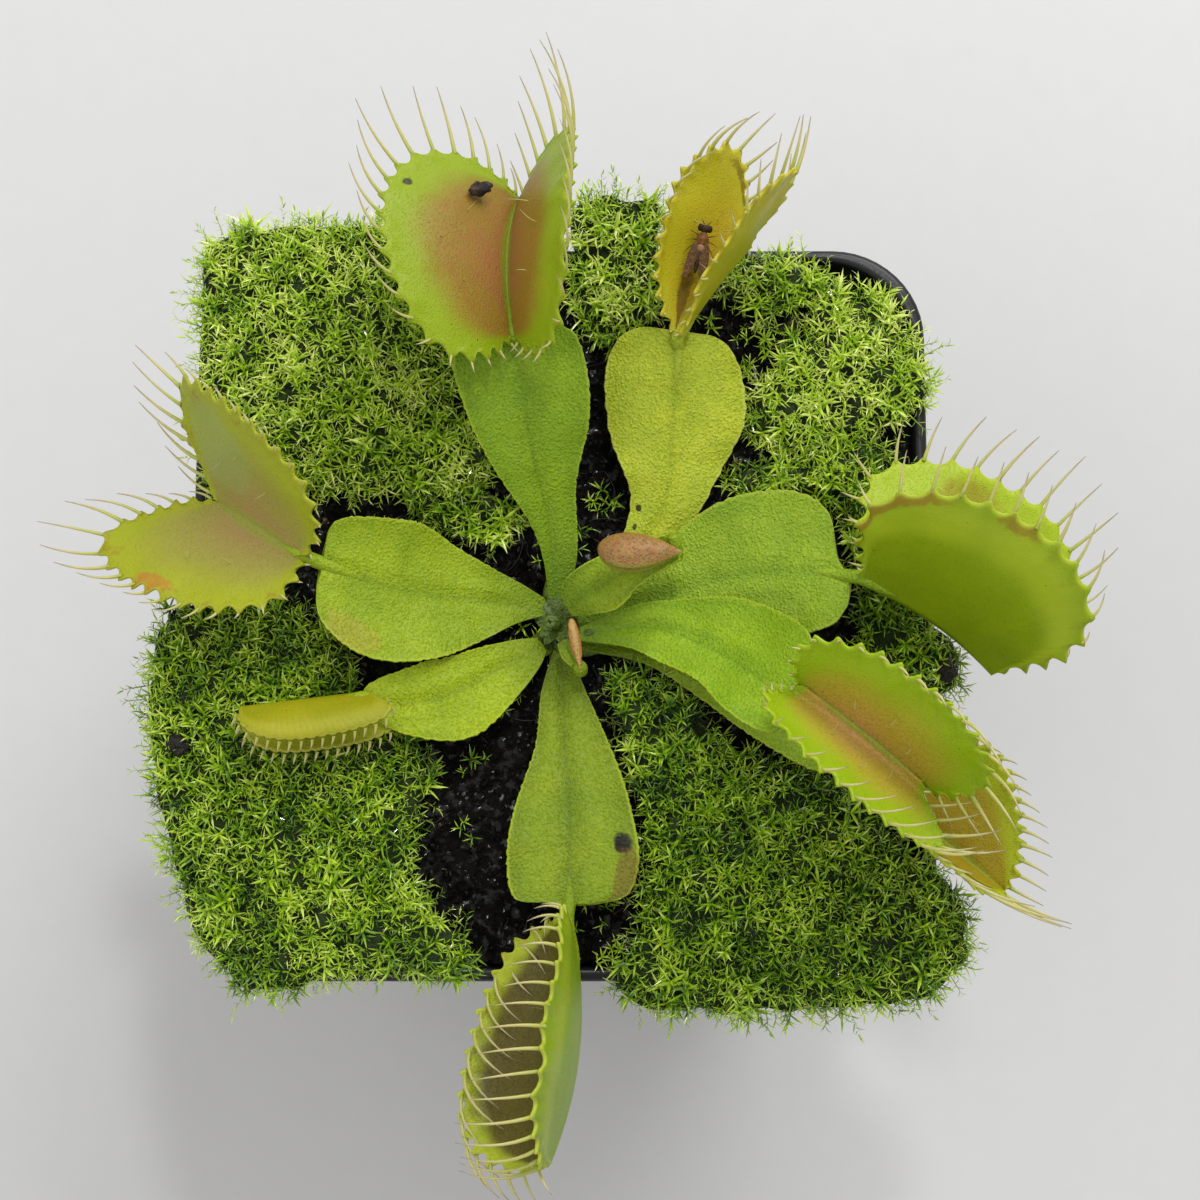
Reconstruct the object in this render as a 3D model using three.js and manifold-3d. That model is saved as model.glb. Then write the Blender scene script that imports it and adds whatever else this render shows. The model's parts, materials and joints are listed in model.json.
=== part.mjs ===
// Potted Venus flytrap in a square plastic nursery pot, with moss on the soil.
// Units are millimetres and +Z is up. The origin is the centre of the pot's underside.
// East is +X and north is +Y, and each leaf is named after the way it points.

import * as THREE from "three";
import { mergeVertices } from "three/addons/utils/BufferGeometryUtils.js";
import { ParametricGeometry } from "three/addons/geometries/ParametricGeometry.js";
import Module from "manifold-3d";

const wasm = await Module();
wasm.setup();

const gap = 0.3; // air left between two pieces that touch
const up = new THREE.Vector3(0, 0, 1);
const { degToRad, clamp, lerp, smoothstep } = THREE.MathUtils;

// The pot's half widths are measured from its axis to the flat of a side.
const pot = {
  height: 75,
  baseHalf: 28,
  wallTopHalf: 38.8,
  lipHalf: 40,
  lipHeight: 5,
  mouthHalf: 38.6,
  floorHalf: 27.1,
  floorThickness: 1.2,
  baseCorner: 6,
  topCorner: 10,
  cornerSteps: 4,
  holeRadius: 3,
  holeOffset: 16,
};

// The soil is level near the rim, sinks at the crown and has fallen away in the north-east corner.
const soil = {
  top: 74.35,
  bumpHeight: 0.3,
  bumpLength: 6,
  crownSink: 1,
  crownRadius: 9,
  cornerSink: 4.5,
  cornerRadius: 13,
  corner: [37, 37],
  levels: [0.86, 0.7, 0.54, 0.38, 0.22, 0.1],
};

const crown = { centre: [-0.5, -2.6], bottom: 73.9, top: 80.4, radius: 1.8 };

const cushion = {
  bottom: pot.height + gap,
  edgeHeight: 0.6,
  columns: 22,
  shoulders: [0.82, 0.5],
  peak: 0.15,
  roundness: 0.6,
};

const blade = {
  rings: 11,
  thickness: 1,
  thinning: 0.45,
  curlWidth: 7,
  topAcross: [1, 0.5, 0, -0.5, -1],
  undersideAcross: [-0.65, 0, 0.65],
};

const lobe = { midribThickness: 0.8, rimThickness: 0.45, curlPerStep: 35, edgeBulge: 1.015 };
const tooth = { shortest: 0.25, leanAtPetiole: 0.1, leanAtTip: 0.75 };
const stalk = {
  radius: 0.75,
  sides: 6,
  steps: 6,
  sunk: 0.4,
  onPetiole: [0.66, 0.8, 0.94],
  underTrap: [0, 0.12, 0.25],
};
const podShape = { steps: 9, sides: 10, swell: 0.6, drop: 0.3, stalkReach: 0.12 };

// A leaf is a petiole and a trap. `spine` is the top of the petiole's midrib, from crown to trap.
// `left` and `right` are the edges of the blade, as [distance along the spine, distance across],
// and `lift` is how far the edges curl up. Left and right are as seen looking away from the crown.
//
// A trap's midrib starts at `hinge`, and points along `heading` and up by `pitch`. `roll` turns the
// whole trap about it. `open` is how far each lobe leans out and `bend` how much it curves across,
// [left, right] in degrees. `back` and `front` fill out the two ends of the rim, `sweep` draws it
// forward, `power` makes it rounder or squarer, and `arch` bows the midrib. Teeth line the rim, and
// `toothTilt` turns them in towards the other lobe.
const leaves = {
  leaf_north: {
    spine: [[-0.6, 0.4, 75.3], [-1.4, 8.8, 78.4], [-3.2, 16.6, 82.6], [-4.5, 26.6, 86.6]],
    lift: 1.2,
    left: [[0.3, 0.7], [4.7, 0.9], [9.5, 2.1], [16.7, 4.6], [21.6, 6.1], [27.5, 6.8], [30.4, 3.6], [30, 0.4]],
    right: [[0, 1.1], [4.6, 2.6], [11.6, 3.5], [18.1, 6.1], [23.8, 6.9], [28.7, 6], [30, 3.1], [29.5, 0.8]],
    trap: {
      hinge: [-4.7, 26.7, 87], heading: 89, pitch: -14, roll: -29,
      length: 16.5, width: 14.9, open: [20, 43], bend: [20, 22],
      back: 1.74, front: 0.78, arch: -1.5, sweep: 0.16, power: 0.97,
      teeth: 17, toothLength: 8, toothTilt: 12,
    },
  },
  leaf_northeast: {
    finish: "oldLeaf",
    spine: [[1, -1, 75.2], [7.6, 4.8, 76.6], [11.2, 11, 78.2], [12, 19.3, 80.2], [12.7, 27.5, 82.6]],
    lift: -0.6,
    left: [[0, 0.9], [6.9, 1.6], [16.2, 3.9], [23.4, 6.7], [29.5, 7.6], [33.4, 6.2], [34.6, 3], [33, 0.6]],
    right: [[0, 0.9], [9.3, 2.1], [17.1, 4.2], [24.3, 7.5], [29.7, 7.1], [33.3, 5.1], [34.3, 2.3], [33, 0.9]],
    trap: {
      hinge: [12.4, 27.6, 83], heading: 55, pitch: -8, roll: -38,
      length: 13.8, width: 11.7, open: [22, 42], bend: [-28, -9],
      back: 0.43, front: 0.52, arch: -0.45, sweep: 0.62, power: 0.75,
      teeth: 15, toothLength: 5, toothTilt: 25,
    },
  },
  leaf_east: {
    spine: [[1.6, -1.8, 76.4], [9.6, 0.3, 78], [18, 2.6, 79.8], [25.2, 2.7, 82.2], [29.8, 1.8, 84.2]],
    lift: 0.8,
    left: [[0.2, 0.6], [7.6, 2.9], [13.5, 6], [19.2, 8.1], [24.2, 8.2], [27, 6.2], [28.4, 2], [29.5, 0.8]],
    right: [[0.1, 0.9], [4.8, 2.9], [11.4, 6.8], [20.7, 8.2], [28.4, 6.4], [30.7, 3.6], [30.5, 0.8]],
    trap: {
      hinge: [31.4, 1.4, 85], heading: -33, pitch: -10, roll: -67,
      length: 17.1, width: 16.4, open: [23, 44], bend: [14, -31],
      back: 2, front: 0.7, arch: -1, sweep: 0.2, power: 0.77,
      teeth: 19, toothLength: 5.8, toothTilt: 20,
    },
  },
  leaf_southeast: {
    spine: [[1.6, -3.5, 78.2], [9.5, -3.1, 80.3], [16.2, -5.9, 83], [21.1, -9.6, 87], [24.1, -11.3, 89.3]],
    lift: 1.8,
    left: [[0.6, 0.7], [4.2, 1.6], [9.6, 3.2], [15, 5.5], [19.5, 6.5], [25.9, 6.2], [27.1, 3], [26.8, 1]],
    right: [[0.2, 0.7], [4.5, 1.8], [9.9, 3.3], [16.1, 3.7], [22, 4.8], [27, 4.6], [27.9, 1.9], [27.3, 0.8]],
    trap: {
      hinge: [24.3, -11.3, 89.6], heading: -38, pitch: -10, roll: -18,
      length: 14.6, width: 11.9, open: [0, 34], bend: [25, 23],
      back: 1.48, front: 1.52, arch: -0.5, sweep: 0.08, power: 0.92,
      teeth: 18, toothLength: 5.5, toothTilt: 25,
    },
  },
  leaf_southeast_low: {
    finish: "oldLeaf",
    spine: [[1.3, -4, 75.1], [9.6, -4.9, 76.4], [16.9, -8.4, 77.8], [24.2, -13.7, 79.6], [30.3, -18, 80.5]],
    lift: 0.8,
    left: [[0.3, 0.6], [7.6, 1.7], [16, 2.9], [24.7, 3.1], [29.6, 1.9], [32.5, 0.6]],
    right: [[0.1, 0.6], [7.9, 1.6], [16.1, 2.7], [21.9, 3], [29.2, 2.5], [33.1, 1]],
    trap: {
      hinge: [30.3, -18, 80.5], heading: -39, pitch: -3, roll: -21,
      length: 20.2, width: 10.5, open: [47, 43], bend: [-2, -13],
      back: 0.4, front: -0.52, arch: 0, sweep: 0, power: 0.63,
      teeth: 16, toothLength: 2.8, toothTilt: 30,
    },
  },
  leaf_south: {
    spine: [[0, -4.4, 75.4], [0.4, -14.7, 77.3], [1, -23.3, 79], [1, -32.2, 80.1]],
    lift: 0.4,
    left: [[0.4, 0.8], [5.8, 2.7], [12.2, 5], [18.6, 6.5], [23.3, 7.2], [27, 6.1], [28, 3], [28.1, 0.9]],
    right: [[0.4, 0.8], [5.1, 2.2], [11.1, 3.1], [17.7, 5.7], [23.3, 6.5], [27.4, 5.7], [27.9, 2.5], [28.1, 1]],
    trap: {
      hinge: [0.8, -33.9, 81], heading: -95, pitch: 13, roll: 50,
      length: 24.2, width: 12.6, open: [53, 104], bend: [-31, -77],
      back: 0.45, front: 0.06, arch: 2.4, sweep: 0.26, power: 1.09,
      teeth: 17, toothLength: 6.5, toothTilt: 45,
    },
  },
  leaf_southwest: {
    spine: [[-1.9, -4.3, 76.6], [-6.4, -7.1, 77.8], [-12.7, -10.5, 79.4], [-19.1, -11.5, 80.4]],
    lift: 1.6,
    left: [[0, 0.8], [2, 2.1], [7.3, 4.2], [11.4, 5.1], [15.2, 3.8], [18.5, 2.3], [20, 0.9]],
    right: [[0.1, 0.8], [3.5, 2.2], [10.3, 3.7], [14.1, 4], [19.6, 2.6], [21.2, 0.8]],
    trap: {
      hinge: [-20.2, -10.7, 81], heading: 187, pitch: 0, roll: -69,
      length: 13.1, width: 5, open: [67, 60], bend: [-74, -85],
      back: 1.16, front: 0.2, arch: 0, sweep: 0, power: 0.84,
      teeth: 18, toothLength: 2.2, toothTilt: -10,
    },
  },
  leaf_west: {
    spine: [[-1.5, -0.3, 75.3], [-8.6, 0.2, 77.8], [-16.9, 0.8, 81], [-23.8, 2.8, 83.8]],
    lift: 1.4,
    left: [[0.2, 0.8], [3.3, 2], [8.1, 4.9], [13, 7], [18.7, 7.8], [23.6, 5.7], [25, 2.6], [24.9, 1.2]],
    right: [[0.3, 1], [3.4, 2.4], [8.1, 4.1], [14.1, 6.8], [18.9, 7], [24.3, 5.3], [25.7, 3.3], [24.5, 0.9]],
    trap: {
      hinge: [-26.7, 3.8, 84.5], heading: 145, pitch: -21, roll: -22,
      length: 12.4, width: 12.8, open: [51, 62], bend: [1, -4],
      back: 2.37, front: 0.8, arch: -0.33, sweep: 0.76, power: 1.06,
      teeth: 16, toothLength: 7, toothTilt: 20,
    },
  },
  leaf_young: {
    spine: [[0.7, -1, 79.2], [3.1, 0.6, 81], [7.5, 2.7, 83.4], [12.1, 4.7, 86]],
    lift: 1.4,
    left: [[0, 0.7], [1.6, 2.4], [6, 2.7], [12, 1.7], [14.8, 1.3]],
    right: [[0, 0.9], [2.4, 2.2], [5.7, 3], [9.2, 1.9], [14.3, 1.5]],
    pod: {
      hinge: [12.8, 5.6, 86.2], heading: 178, pitch: 0, roll: -75,
      length: 8.5, width: 4.6, thickness: 2.2,
    },
  },
  leaf_bud: {
    finish: "bud",
    spine: [[0.2, -4.4, 79.1], [1.3, -6.2, 79.3], [2.2, -7.6, 79.8]],
    lift: 0.6,
    left: [[0, 0.6], [1.5, 0.9], [2.8, 0.5]],
    right: [[0, 0.6], [1.5, 0.9], [2.8, 0.5]],
    pod: {
      hinge: [2.2, -7.7, 80.2], heading: 101, pitch: 6, roll: 0,
      length: 5.2, width: 1.3, thickness: 1.2,
    },
  },
};

// Moss cushions lie on the soil and over the rim. Each has an outline, a crest and a height.
const cushions = {
  moss_northwest: {
    crest: [-26, 28], height: 2.6,
    outline: [
      [-40.5, 42], [-29, 44.5], [-18, 43.5], [-12, 40.5], [-11.5, 31.5], [-12, 22.5], [-8.5, 15.5],
      [-13, 12.3], [-26, 12.5], [-36, 11.5], [-39.5, 19], [-40.5, 31.5],
    ],
  },
  moss_north: {
    crest: [6.2, 38], height: 1.8,
    outline: [[1.5, 44.5], [6.5, 45.5], [10.5, 44.5], [10, 36], [9, 31.5], [5, 29], [3, 31], [1.5, 36]],
  },
  moss_north_rim: {
    crest: [26, 38.5], height: 1.6,
    outline: [[21, 40], [26.5, 41.5], [31.5, 39.5], [31, 36.5], [25, 35.5], [20.5, 37]],
  },
  moss_northeast: {
    crest: [31, 26], height: 2.6,
    outline: [
      [29.8, 34.8], [36.5, 34.8], [40.5, 29], [40, 22.5], [34.5, 20.3], [26, 17.3],
      [21.5, 18.4], [21, 23.5], [25, 26.5], [27.5, 31.5],
    ],
  },
  moss_east: {
    crest: [31.8, 14], height: 1.8,
    outline: [
      [19.5, 14.5], [26, 16.2], [32.5, 18], [36, 13.5], [36, 7], [33.5, 3], [31.5, 5], [30.2, 11], [20.5, 12],
    ],
  },
  moss_east_rim: {
    crest: [38, -4.5], height: 1.6,
    outline: [[33, 0.5], [37.5, 0.8], [41.5, -4], [43, -8], [39.5, -9.7], [35, -7.5], [32.5, -4]],
  },
  moss_southeast: {
    crest: [19, -29], height: 1.7,
    outline: [
      [5.5, -8], [12.5, -9.5], [17, -14.5], [24.5, -18], [31.5, -21], [36, -26.5], [40.5, -29.5],
      [43, -35.5], [39.5, -41], [31.5, -42.5], [21, -43], [10.5, -42.5], [6, -40.5], [9, -33.5],
      [9, -27.5], [8.5, -20],
    ],
  },
  moss_southwest: {
    crest: [-27, -28.5], height: 2.3,
    outline: [
      [-40.5, 0], [-33.5, 0], [-26.5, -2], [-23, -6], [-20.5, -11.5], [-15, -15], [-14, -19], [-16, -24],
      [-15.5, -29.5], [-12.5, -33.8], [-9.5, -36], [-11, -39.5], [-16.5, -38.5], [-24, -39.5], [-31.5, -41],
      [-36, -38], [-39.5, -31.5], [-42.5, -21], [-44, -10.5], [-43, -3],
    ],
  },
  moss_centre: {
    crest: [-10.5, 10], height: 0.9,
    outline: [[-16, 10.6], [-12.5, 12], [-8, 12.6], [-5.5, 9], [-6.5, 6.8], [-11.5, 7.5]],
  },
};

// The fly lies along the middle of the north-east trap, on the inner face of its left lobe.
const fly = {
  head: [15.3, 38.6, 86.1],
  thorax: [15.05, 37.2, 86],
  tail: [14.5, 35, 85.8],
  bodyRadius: 0.75,
  wing: [0.75, 1.7, 0.12],
  wingTurn: [14, -44],
};

// Loose bits, each a rounded lump: where it lies, its half lengths and its turn about Z.
const crumbs = {
  crumb_on_trap: { at: [-8.3, 42.4, 88.4], half: [1.2, 0.8, 0.7], turn: 20 },
  bark_chip: { at: [25.8, 31.6, 74.7], half: [1.7, 0.8, 0.5], turn: -14 },
  peat_chunk: { at: [41.2, -7.3, 77.6], half: [0.9, 1.2, 0.8], turn: 10 },
  peat_crumb: { at: [-40.4, -15.2, 77.5], half: [0.7, 0.6, 0.5], turn: 0 },
};

const colours = {
  pot: { color: "#17181a", roughness: 0.32 },
  soil: { color: "#1d1612", roughness: 0.85 },
  leaf: { color: "#8fae2c", roughness: 0.5 },
  oldLeaf: { color: "#a2a03a", roughness: 0.5 },
  bud: { color: "#c98a62", roughness: 0.5 },
  crown: { color: "#7fa62c", roughness: 0.5 },
  moss: { color: "#5c8a22", roughness: 0.9 },
  insect: { color: "#1f1a16", roughness: 0.5 },
  bark: { color: "#6b4a2e", roughness: 0.9 },
};

// A closed surface through rings of points that all have the same length. Each end is closed
// over the middle of its ring.
function loft(rings) {
  const closed = [middleRing(rings[0]), ...rings, middleRing(rings.at(-1))];
  const columns = rings[0].length;
  const lastRow = closed.length - 1;
  const surface = (u, v, target) => {
    const row = closed[Math.round(v * lastRow)];
    target.copy(row[Math.round(u * columns) % columns]);
  };
  return new ParametricGeometry(surface, columns, lastRow);
}

function middleRing(ring) {
  const middle = new THREE.Vector3();
  ring.forEach((point) => middle.addScaledVector(point, 1 / ring.length));
  return ring.map(() => middle);
}

// A manifold solid of a closed geometry, turned so that its faces look outward.
function solidOf(geometry) {
  const plain = geometry.clone();
  plain.deleteAttribute("normal");
  plain.deleteAttribute("uv");
  const merged = mergeVertices(plain, 1e-4);
  const vertProperties = new Float32Array(merged.attributes.position.array);
  const corner = (index) => new THREE.Vector3().fromArray(vertProperties, 3 * index);
  const triangles = [];
  let volume = 0;
  for (let i = 0; i < merged.index.count; i += 3) {
    const [a, b, c] = [0, 1, 2].map((k) => merged.index.getX(i + k));
    if (a !== b && b !== c && c !== a) {
      triangles.push([a, b, c]);
      volume += corner(a).dot(corner(b).cross(corner(c)));
    }
  }
  const outward = volume > 0 ? triangles : triangles.map(([a, b, c]) => [a, c, b]);
  const triVerts = new Uint32Array(outward.flat());
  return new wasm.Manifold(new wasm.Mesh({ numProp: 3, vertProperties, triVerts }));
}

function geometryOf(solid) {
  const { vertProperties, triVerts } = solid.getMesh();
  const geometry = new THREE.BufferGeometry();
  geometry.setAttribute("position", new THREE.BufferAttribute(new Float32Array(vertProperties), 3));
  geometry.setIndex(new THREE.BufferAttribute(new Uint32Array(triVerts), 1));
  geometry.computeVertexNormals();
  return geometry;
}

// The solids as one body. Only its outer surface is kept, so small pockets between them are filled.
function joined(solids) {
  const shells = solids.reduce((whole, solid) => whole.add(solid)).decompose();
  return shells.reduce((largest, shell) => (shell.volume() > largest.volume() ? shell : largest));
}

const curveThrough = (points) =>
  new THREE.CatmullRomCurve3(points.map((point) => new THREE.Vector3(...point)), false, "catmullrom", 0.5);

const outlineThrough = (points) => new THREE.SplineCurve(points.map((point) => new THREE.Vector2(...point)));

// One ring of a square with round corners.
function squareRing(half, cornerRadius, height) {
  const ring = [];
  for (let quarter = 0; quarter < 4; quarter++) {
    for (let step = 0; step <= pot.cornerSteps; step++) {
      const angle = (Math.PI / 2) * (quarter + step / pot.cornerSteps);
      const turn = (Math.PI / 2) * quarter;
      const point = new THREE.Vector3(half - cornerRadius, half - cornerRadius, height);
      point.applyAxisAngle(up, turn);
      point.x += cornerRadius * Math.cos(angle);
      point.y += cornerRadius * Math.sin(angle);
      ring.push(point);
    }
  }
  return ring;
}

const outerHalf = (height) => lerp(pot.baseHalf, pot.wallTopHalf, height / (pot.height - pot.lipHeight));
const innerHalf = (height) => lerp(pot.floorHalf, pot.mouthHalf, height / pot.height);
const cornerAt = (height) => lerp(pot.baseCorner, pot.topCorner, height / pot.height);

function potSolid() {
  const lipStart = pot.height - pot.lipHeight;
  const ringAt = (half, height) => squareRing(half, cornerAt(height), height);
  const shell = loft([
    ringAt(pot.baseHalf, 0),
    ringAt(outerHalf(lipStart), lipStart),
    ringAt(pot.lipHalf, lipStart + 0.6),
    ringAt(pot.lipHalf, pot.height - 0.3),
    ringAt(pot.lipHalf - 0.3, pot.height),
    ringAt(pot.mouthHalf, pot.height),
    ringAt(innerHalf(lipStart), lipStart),
    ringAt(innerHalf(pot.floorThickness), pot.floorThickness),
  ]);
  let solid = solidOf(shell);
  for (const sideX of [-1, 1]) {
    for (const sideY of [-1, 1]) {
      const hole = new THREE.CylinderGeometry(pot.holeRadius, pot.holeRadius, 3 * pot.floorThickness, 16);
      hole.rotateX(Math.PI / 2);
      hole.translate(sideX * pot.holeOffset, sideY * pot.holeOffset, 0);
      solid = solid.subtract(solidOf(hole));
    }
  }
  return solid;
}

function soilHeight(x, y) {
  const bump = Math.sin(x / soil.bumpLength + 1) * Math.cos(y / soil.bumpLength);
  const fromCrown = Math.hypot(x - crown.centre[0], y - crown.centre[1]);
  const fromCorner = Math.hypot(x - soil.corner[0], y - soil.corner[1]);
  const sink = soil.crownSink * (1 - smoothstep(fromCrown, 0.4 * soil.crownRadius, soil.crownRadius));
  const fall = soil.cornerSink * (1 - smoothstep(fromCorner, 0.3 * soil.cornerRadius, soil.cornerRadius));
  return soil.top + soil.bumpHeight * bump - sink - fall;
}

function soilSolid() {
  const bottom = pot.floorThickness + gap;
  const sideGap = 1.2 * gap;
  const wallRing = (height) => squareRing(innerHalf(height) - sideGap, cornerAt(height) - sideGap, height);
  const edge = wallRing(soil.top).map(({ x, y }, i) => wallRing(soilHeight(x, y))[i]);
  const top = soil.levels.map((level) =>
    edge.map(({ x, y }) => new THREE.Vector3(level * x, level * y, soilHeight(level * x, level * y))));
  const shoulder = wallRing(soil.top - soil.cornerSink - 1);
  return solidOf(loft([wallRing(bottom), shoulder, edge, ...top]));
}

function crownSolid() {
  const knob = new THREE.SphereGeometry(crown.radius, 10, 8);
  knob.rotateX(Math.PI / 2);
  knob.scale(1, 1, (crown.top - crown.bottom) / (2 * crown.radius));
  knob.translate(...crown.centre, (crown.top + crown.bottom) / 2);
  return solidOf(knob);
}

// A point of the petiole's blade, `depth` below its top.
function bladePoint(leaf, spine, along, across, depth) {
  const length = spine.getLength();
  const part = clamp(along / length, 0, 1);
  const forward = spine.getTangentAt(part);
  const side = new THREE.Vector3().crossVectors(up, forward).normalize();
  const normal = new THREE.Vector3().crossVectors(forward, side);
  const curl = leaf.lift * (across / blade.curlWidth) ** 2;
  return spine
    .getPointAt(part)
    .addScaledVector(forward, along - part * length)
    .addScaledVector(side, across)
    .addScaledVector(normal, curl - depth);
}

function petioleSolid(leaf) {
  const spine = curveThrough(leaf.spine);
  const [left, right] = [outlineThrough(leaf.left), outlineThrough(leaf.right)];
  const rings = [];
  for (let i = 0; i <= blade.rings; i++) {
    const leftEdge = left.getPointAt(i / blade.rings);
    const rightEdge = right.getPointAt(i / blade.rings);
    const middle = (leftEdge.x + rightEdge.x) / 2;
    const pointAt = (across, depth) => {
      const edge = across > 0 ? leftEdge : rightEdge;
      return bladePoint(leaf, spine, lerp(middle, edge.x, Math.abs(across)), across * edge.y, depth);
    };
    const top = blade.topAcross.map((across) => pointAt(across, 0));
    const underside = blade.undersideAcross.map((across) =>
      pointAt(across, blade.thickness * (1 - blade.thinning * Math.abs(across))));
    rings.push([...top, ...underside]);
  }
  return solidOf(loft(rings));
}

// The trap's own axes: forward along its midrib, left, and up between the lobes.
function trapAxes({ heading, pitch, roll }) {
  const turn = new THREE.Euler(degToRad(roll), -degToRad(pitch), degToRad(heading), "ZYX");
  const axis = (x, y, z) => new THREE.Vector3(x, y, z).applyEuler(turn);
  return { forward: axis(1, 0, 0), left: axis(0, 1, 0), up: axis(0, 0, 1) };
}

// Where the rim of a flattened lobe is: `a` runs along the midrib and `b` away from it.
function rimPoint(trap, angle) {
  const [cos, sin] = [Math.cos(angle), Math.sin(angle)];
  const fill = cos > 0 ? trap.back : trap.front;
  const b = trap.width * Math.max(sin, 0) ** trap.power;
  const a = (trap.length / 2) * (1 - cos * (1 + fill * sin)) + trap.sweep * b;
  return { a, b };
}

// The place of a flattened point (a, b) on the curved lobe, with the directions there.
function lobeFrame(trap, axes, side, a, b) {
  const open = degToRad(trap.open[side > 0 ? 0 : 1]);
  const curve = degToRad(trap.bend[side > 0 ? 0 : 1]) / trap.width || 1e-6;
  const lean = open + curve * b;
  const y = (Math.cos(open) - Math.cos(lean)) / curve;
  const z = (Math.sin(lean) - Math.sin(open)) / curve + trap.arch * ((2 * a / trap.length - 1) ** 2 - 1);
  const mix = (forward, left, upward) => new THREE.Vector3()
    .addScaledVector(axes.forward, forward)
    .addScaledVector(axes.left, side * left)
    .addScaledVector(axes.up, upward);
  return {
    place: new THREE.Vector3(...trap.hinge).add(mix(a, y, z)),
    outward: mix(0, Math.sin(lean), Math.cos(lean)),
    inward: mix(0, -Math.cos(lean), Math.sin(lean)),
  };
}

// Teeth are short by the petiole, longest two thirds of the way to the tip, and lean forward there.
function toothTip(trap, axes, side, angle) {
  const part = angle / Math.PI;
  const step = 0.02;
  const [before, after] = [rimPoint(trap, angle - step), rimPoint(trap, angle + step)];
  const outward = new THREE.Vector2(before.b - after.b, after.a - before.a).normalize();
  outward.x += lerp(tooth.leanAtPetiole, tooth.leanAtTip, part);
  outward.normalize();
  const rim = rimPoint(trap, angle);
  const frame = lobeFrame(trap, axes, side, rim.a, rim.b);
  const tilt = degToRad(trap.toothTilt);
  const swell = Math.sin(Math.PI * clamp(part, 0, 1) ** 1.4) ** 0.8;
  const length = trap.toothLength * lerp(tooth.shortest, 1, swell);
  return frame.place
    .addScaledVector(axes.forward, length * outward.x * Math.cos(tilt))
    .addScaledVector(frame.outward, length * outward.y * Math.cos(tilt))
    .addScaledVector(frame.inward, length * Math.sin(tilt));
}

// Both lobes with their teeth. Every row runs from rim to rim, and every other one ends in teeth.
function trapSolid(trap) {
  const axes = trapAxes(trap);
  const rows = 2 * trap.teeth;
  const across = Math.max(2, Math.ceil(Math.max(...trap.bend.map(Math.abs)) / lobe.curlPerStep));
  const parts = Array.from({ length: across }, (_, step) => 1 - step / across);
  const rings = [];
  for (let row = 0; row <= rows; row++) {
    const angle = Math.PI * (row / rows);
    const rim = rimPoint(trap, angle);
    const foot = (trap.length * row) / rows;
    const pointAt = (side, part, face) => {
      const frame = lobeFrame(trap, axes, side, lerp(foot, rim.a, part), part * rim.b);
      const thickness = lerp(lobe.midribThickness, lobe.rimThickness, part);
      return frame.place.addScaledVector(frame.inward, (face * thickness) / 2);
    };
    const middle = (rise) => lobeFrame(trap, axes, 1, foot, 0).place.addScaledVector(axes.up, rise);
    const hasTeeth = row % 2 === 1;
    const end = (side) => (hasTeeth ? toothTip(trap, axes, side, angle) : pointAt(side, lobe.edgeBulge, 0));
    rings.push([
      end(1),
      ...parts.map((part) => pointAt(1, part, 1)),
      middle(lobe.midribThickness),
      ...parts.map((part) => pointAt(-1, part, 1)).reverse(),
      end(-1),
      ...parts.map((part) => pointAt(-1, part, -1)),
      middle(-lobe.midribThickness),
      ...parts.map((part) => pointAt(1, part, -1)).reverse(),
    ]);
  }
  return solidOf(loft(rings));
}

// The round stalk, from the petiole's upper part to the near end of the trap.
function stalkSolid(leaf, far) {
  const spine = curveThrough(leaf.spine);
  const near = stalk.onPetiole.map((part) => spine.getPointAt(part).addScaledVector(up, -stalk.sunk));
  const path = new THREE.CatmullRomCurve3([...near, ...far]);
  const section = new THREE.Shape().absarc(0, 0, stalk.radius, 0, 2 * Math.PI);
  const geometry = new THREE.ExtrudeGeometry(section, {
    steps: stalk.steps,
    curveSegments: stalk.sides / 2,
    bevelEnabled: false,
    extrudePath: path,
  });
  return solidOf(geometry);
}

// The stalk runs on under the near quarter of the trap's midrib.
function trapParts(leaf) {
  const { trap } = leaf;
  const axes = trapAxes(trap);
  const far = stalk.underTrap.map((part) => lobeFrame(trap, axes, 1, part * trap.length, 0).place);
  return [stalkSolid(leaf, far), trapSolid(trap)];
}

// A trap that has not opened yet: both lobes lie shut against each other as one solid pod.
function podParts(leaf) {
  const { pod } = leaf;
  const axes = trapAxes(pod);
  const rings = [];
  for (let i = 0; i <= podShape.steps; i++) {
    const part = i / podShape.steps;
    const swell = Math.sin(Math.PI * part) ** podShape.swell;
    const ring = [];
    for (let k = 0; k < podShape.sides; k++) {
      const angle = (2 * Math.PI * k) / podShape.sides;
      ring.push(new THREE.Vector3(...pod.hinge)
        .addScaledVector(axes.forward, pod.length * part)
        .addScaledVector(axes.left, 0.5 * pod.thickness * swell * Math.sin(angle))
        .addScaledVector(axes.up, 0.5 * pod.width * swell * (1 - Math.cos(angle)) - podShape.drop));
    }
    rings.push(ring);
  }
  const stalkEnd = new THREE.Vector3(...pod.hinge);
  stalkEnd.addScaledVector(axes.forward, podShape.stalkReach * pod.length);
  return [stalkSolid(leaf, [stalkEnd]), solidOf(loft(rings))];
}

const leafSolid = (leaf) => joined([petioleSolid(leaf), ...(leaf.trap ? trapParts(leaf) : podParts(leaf))]);

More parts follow.
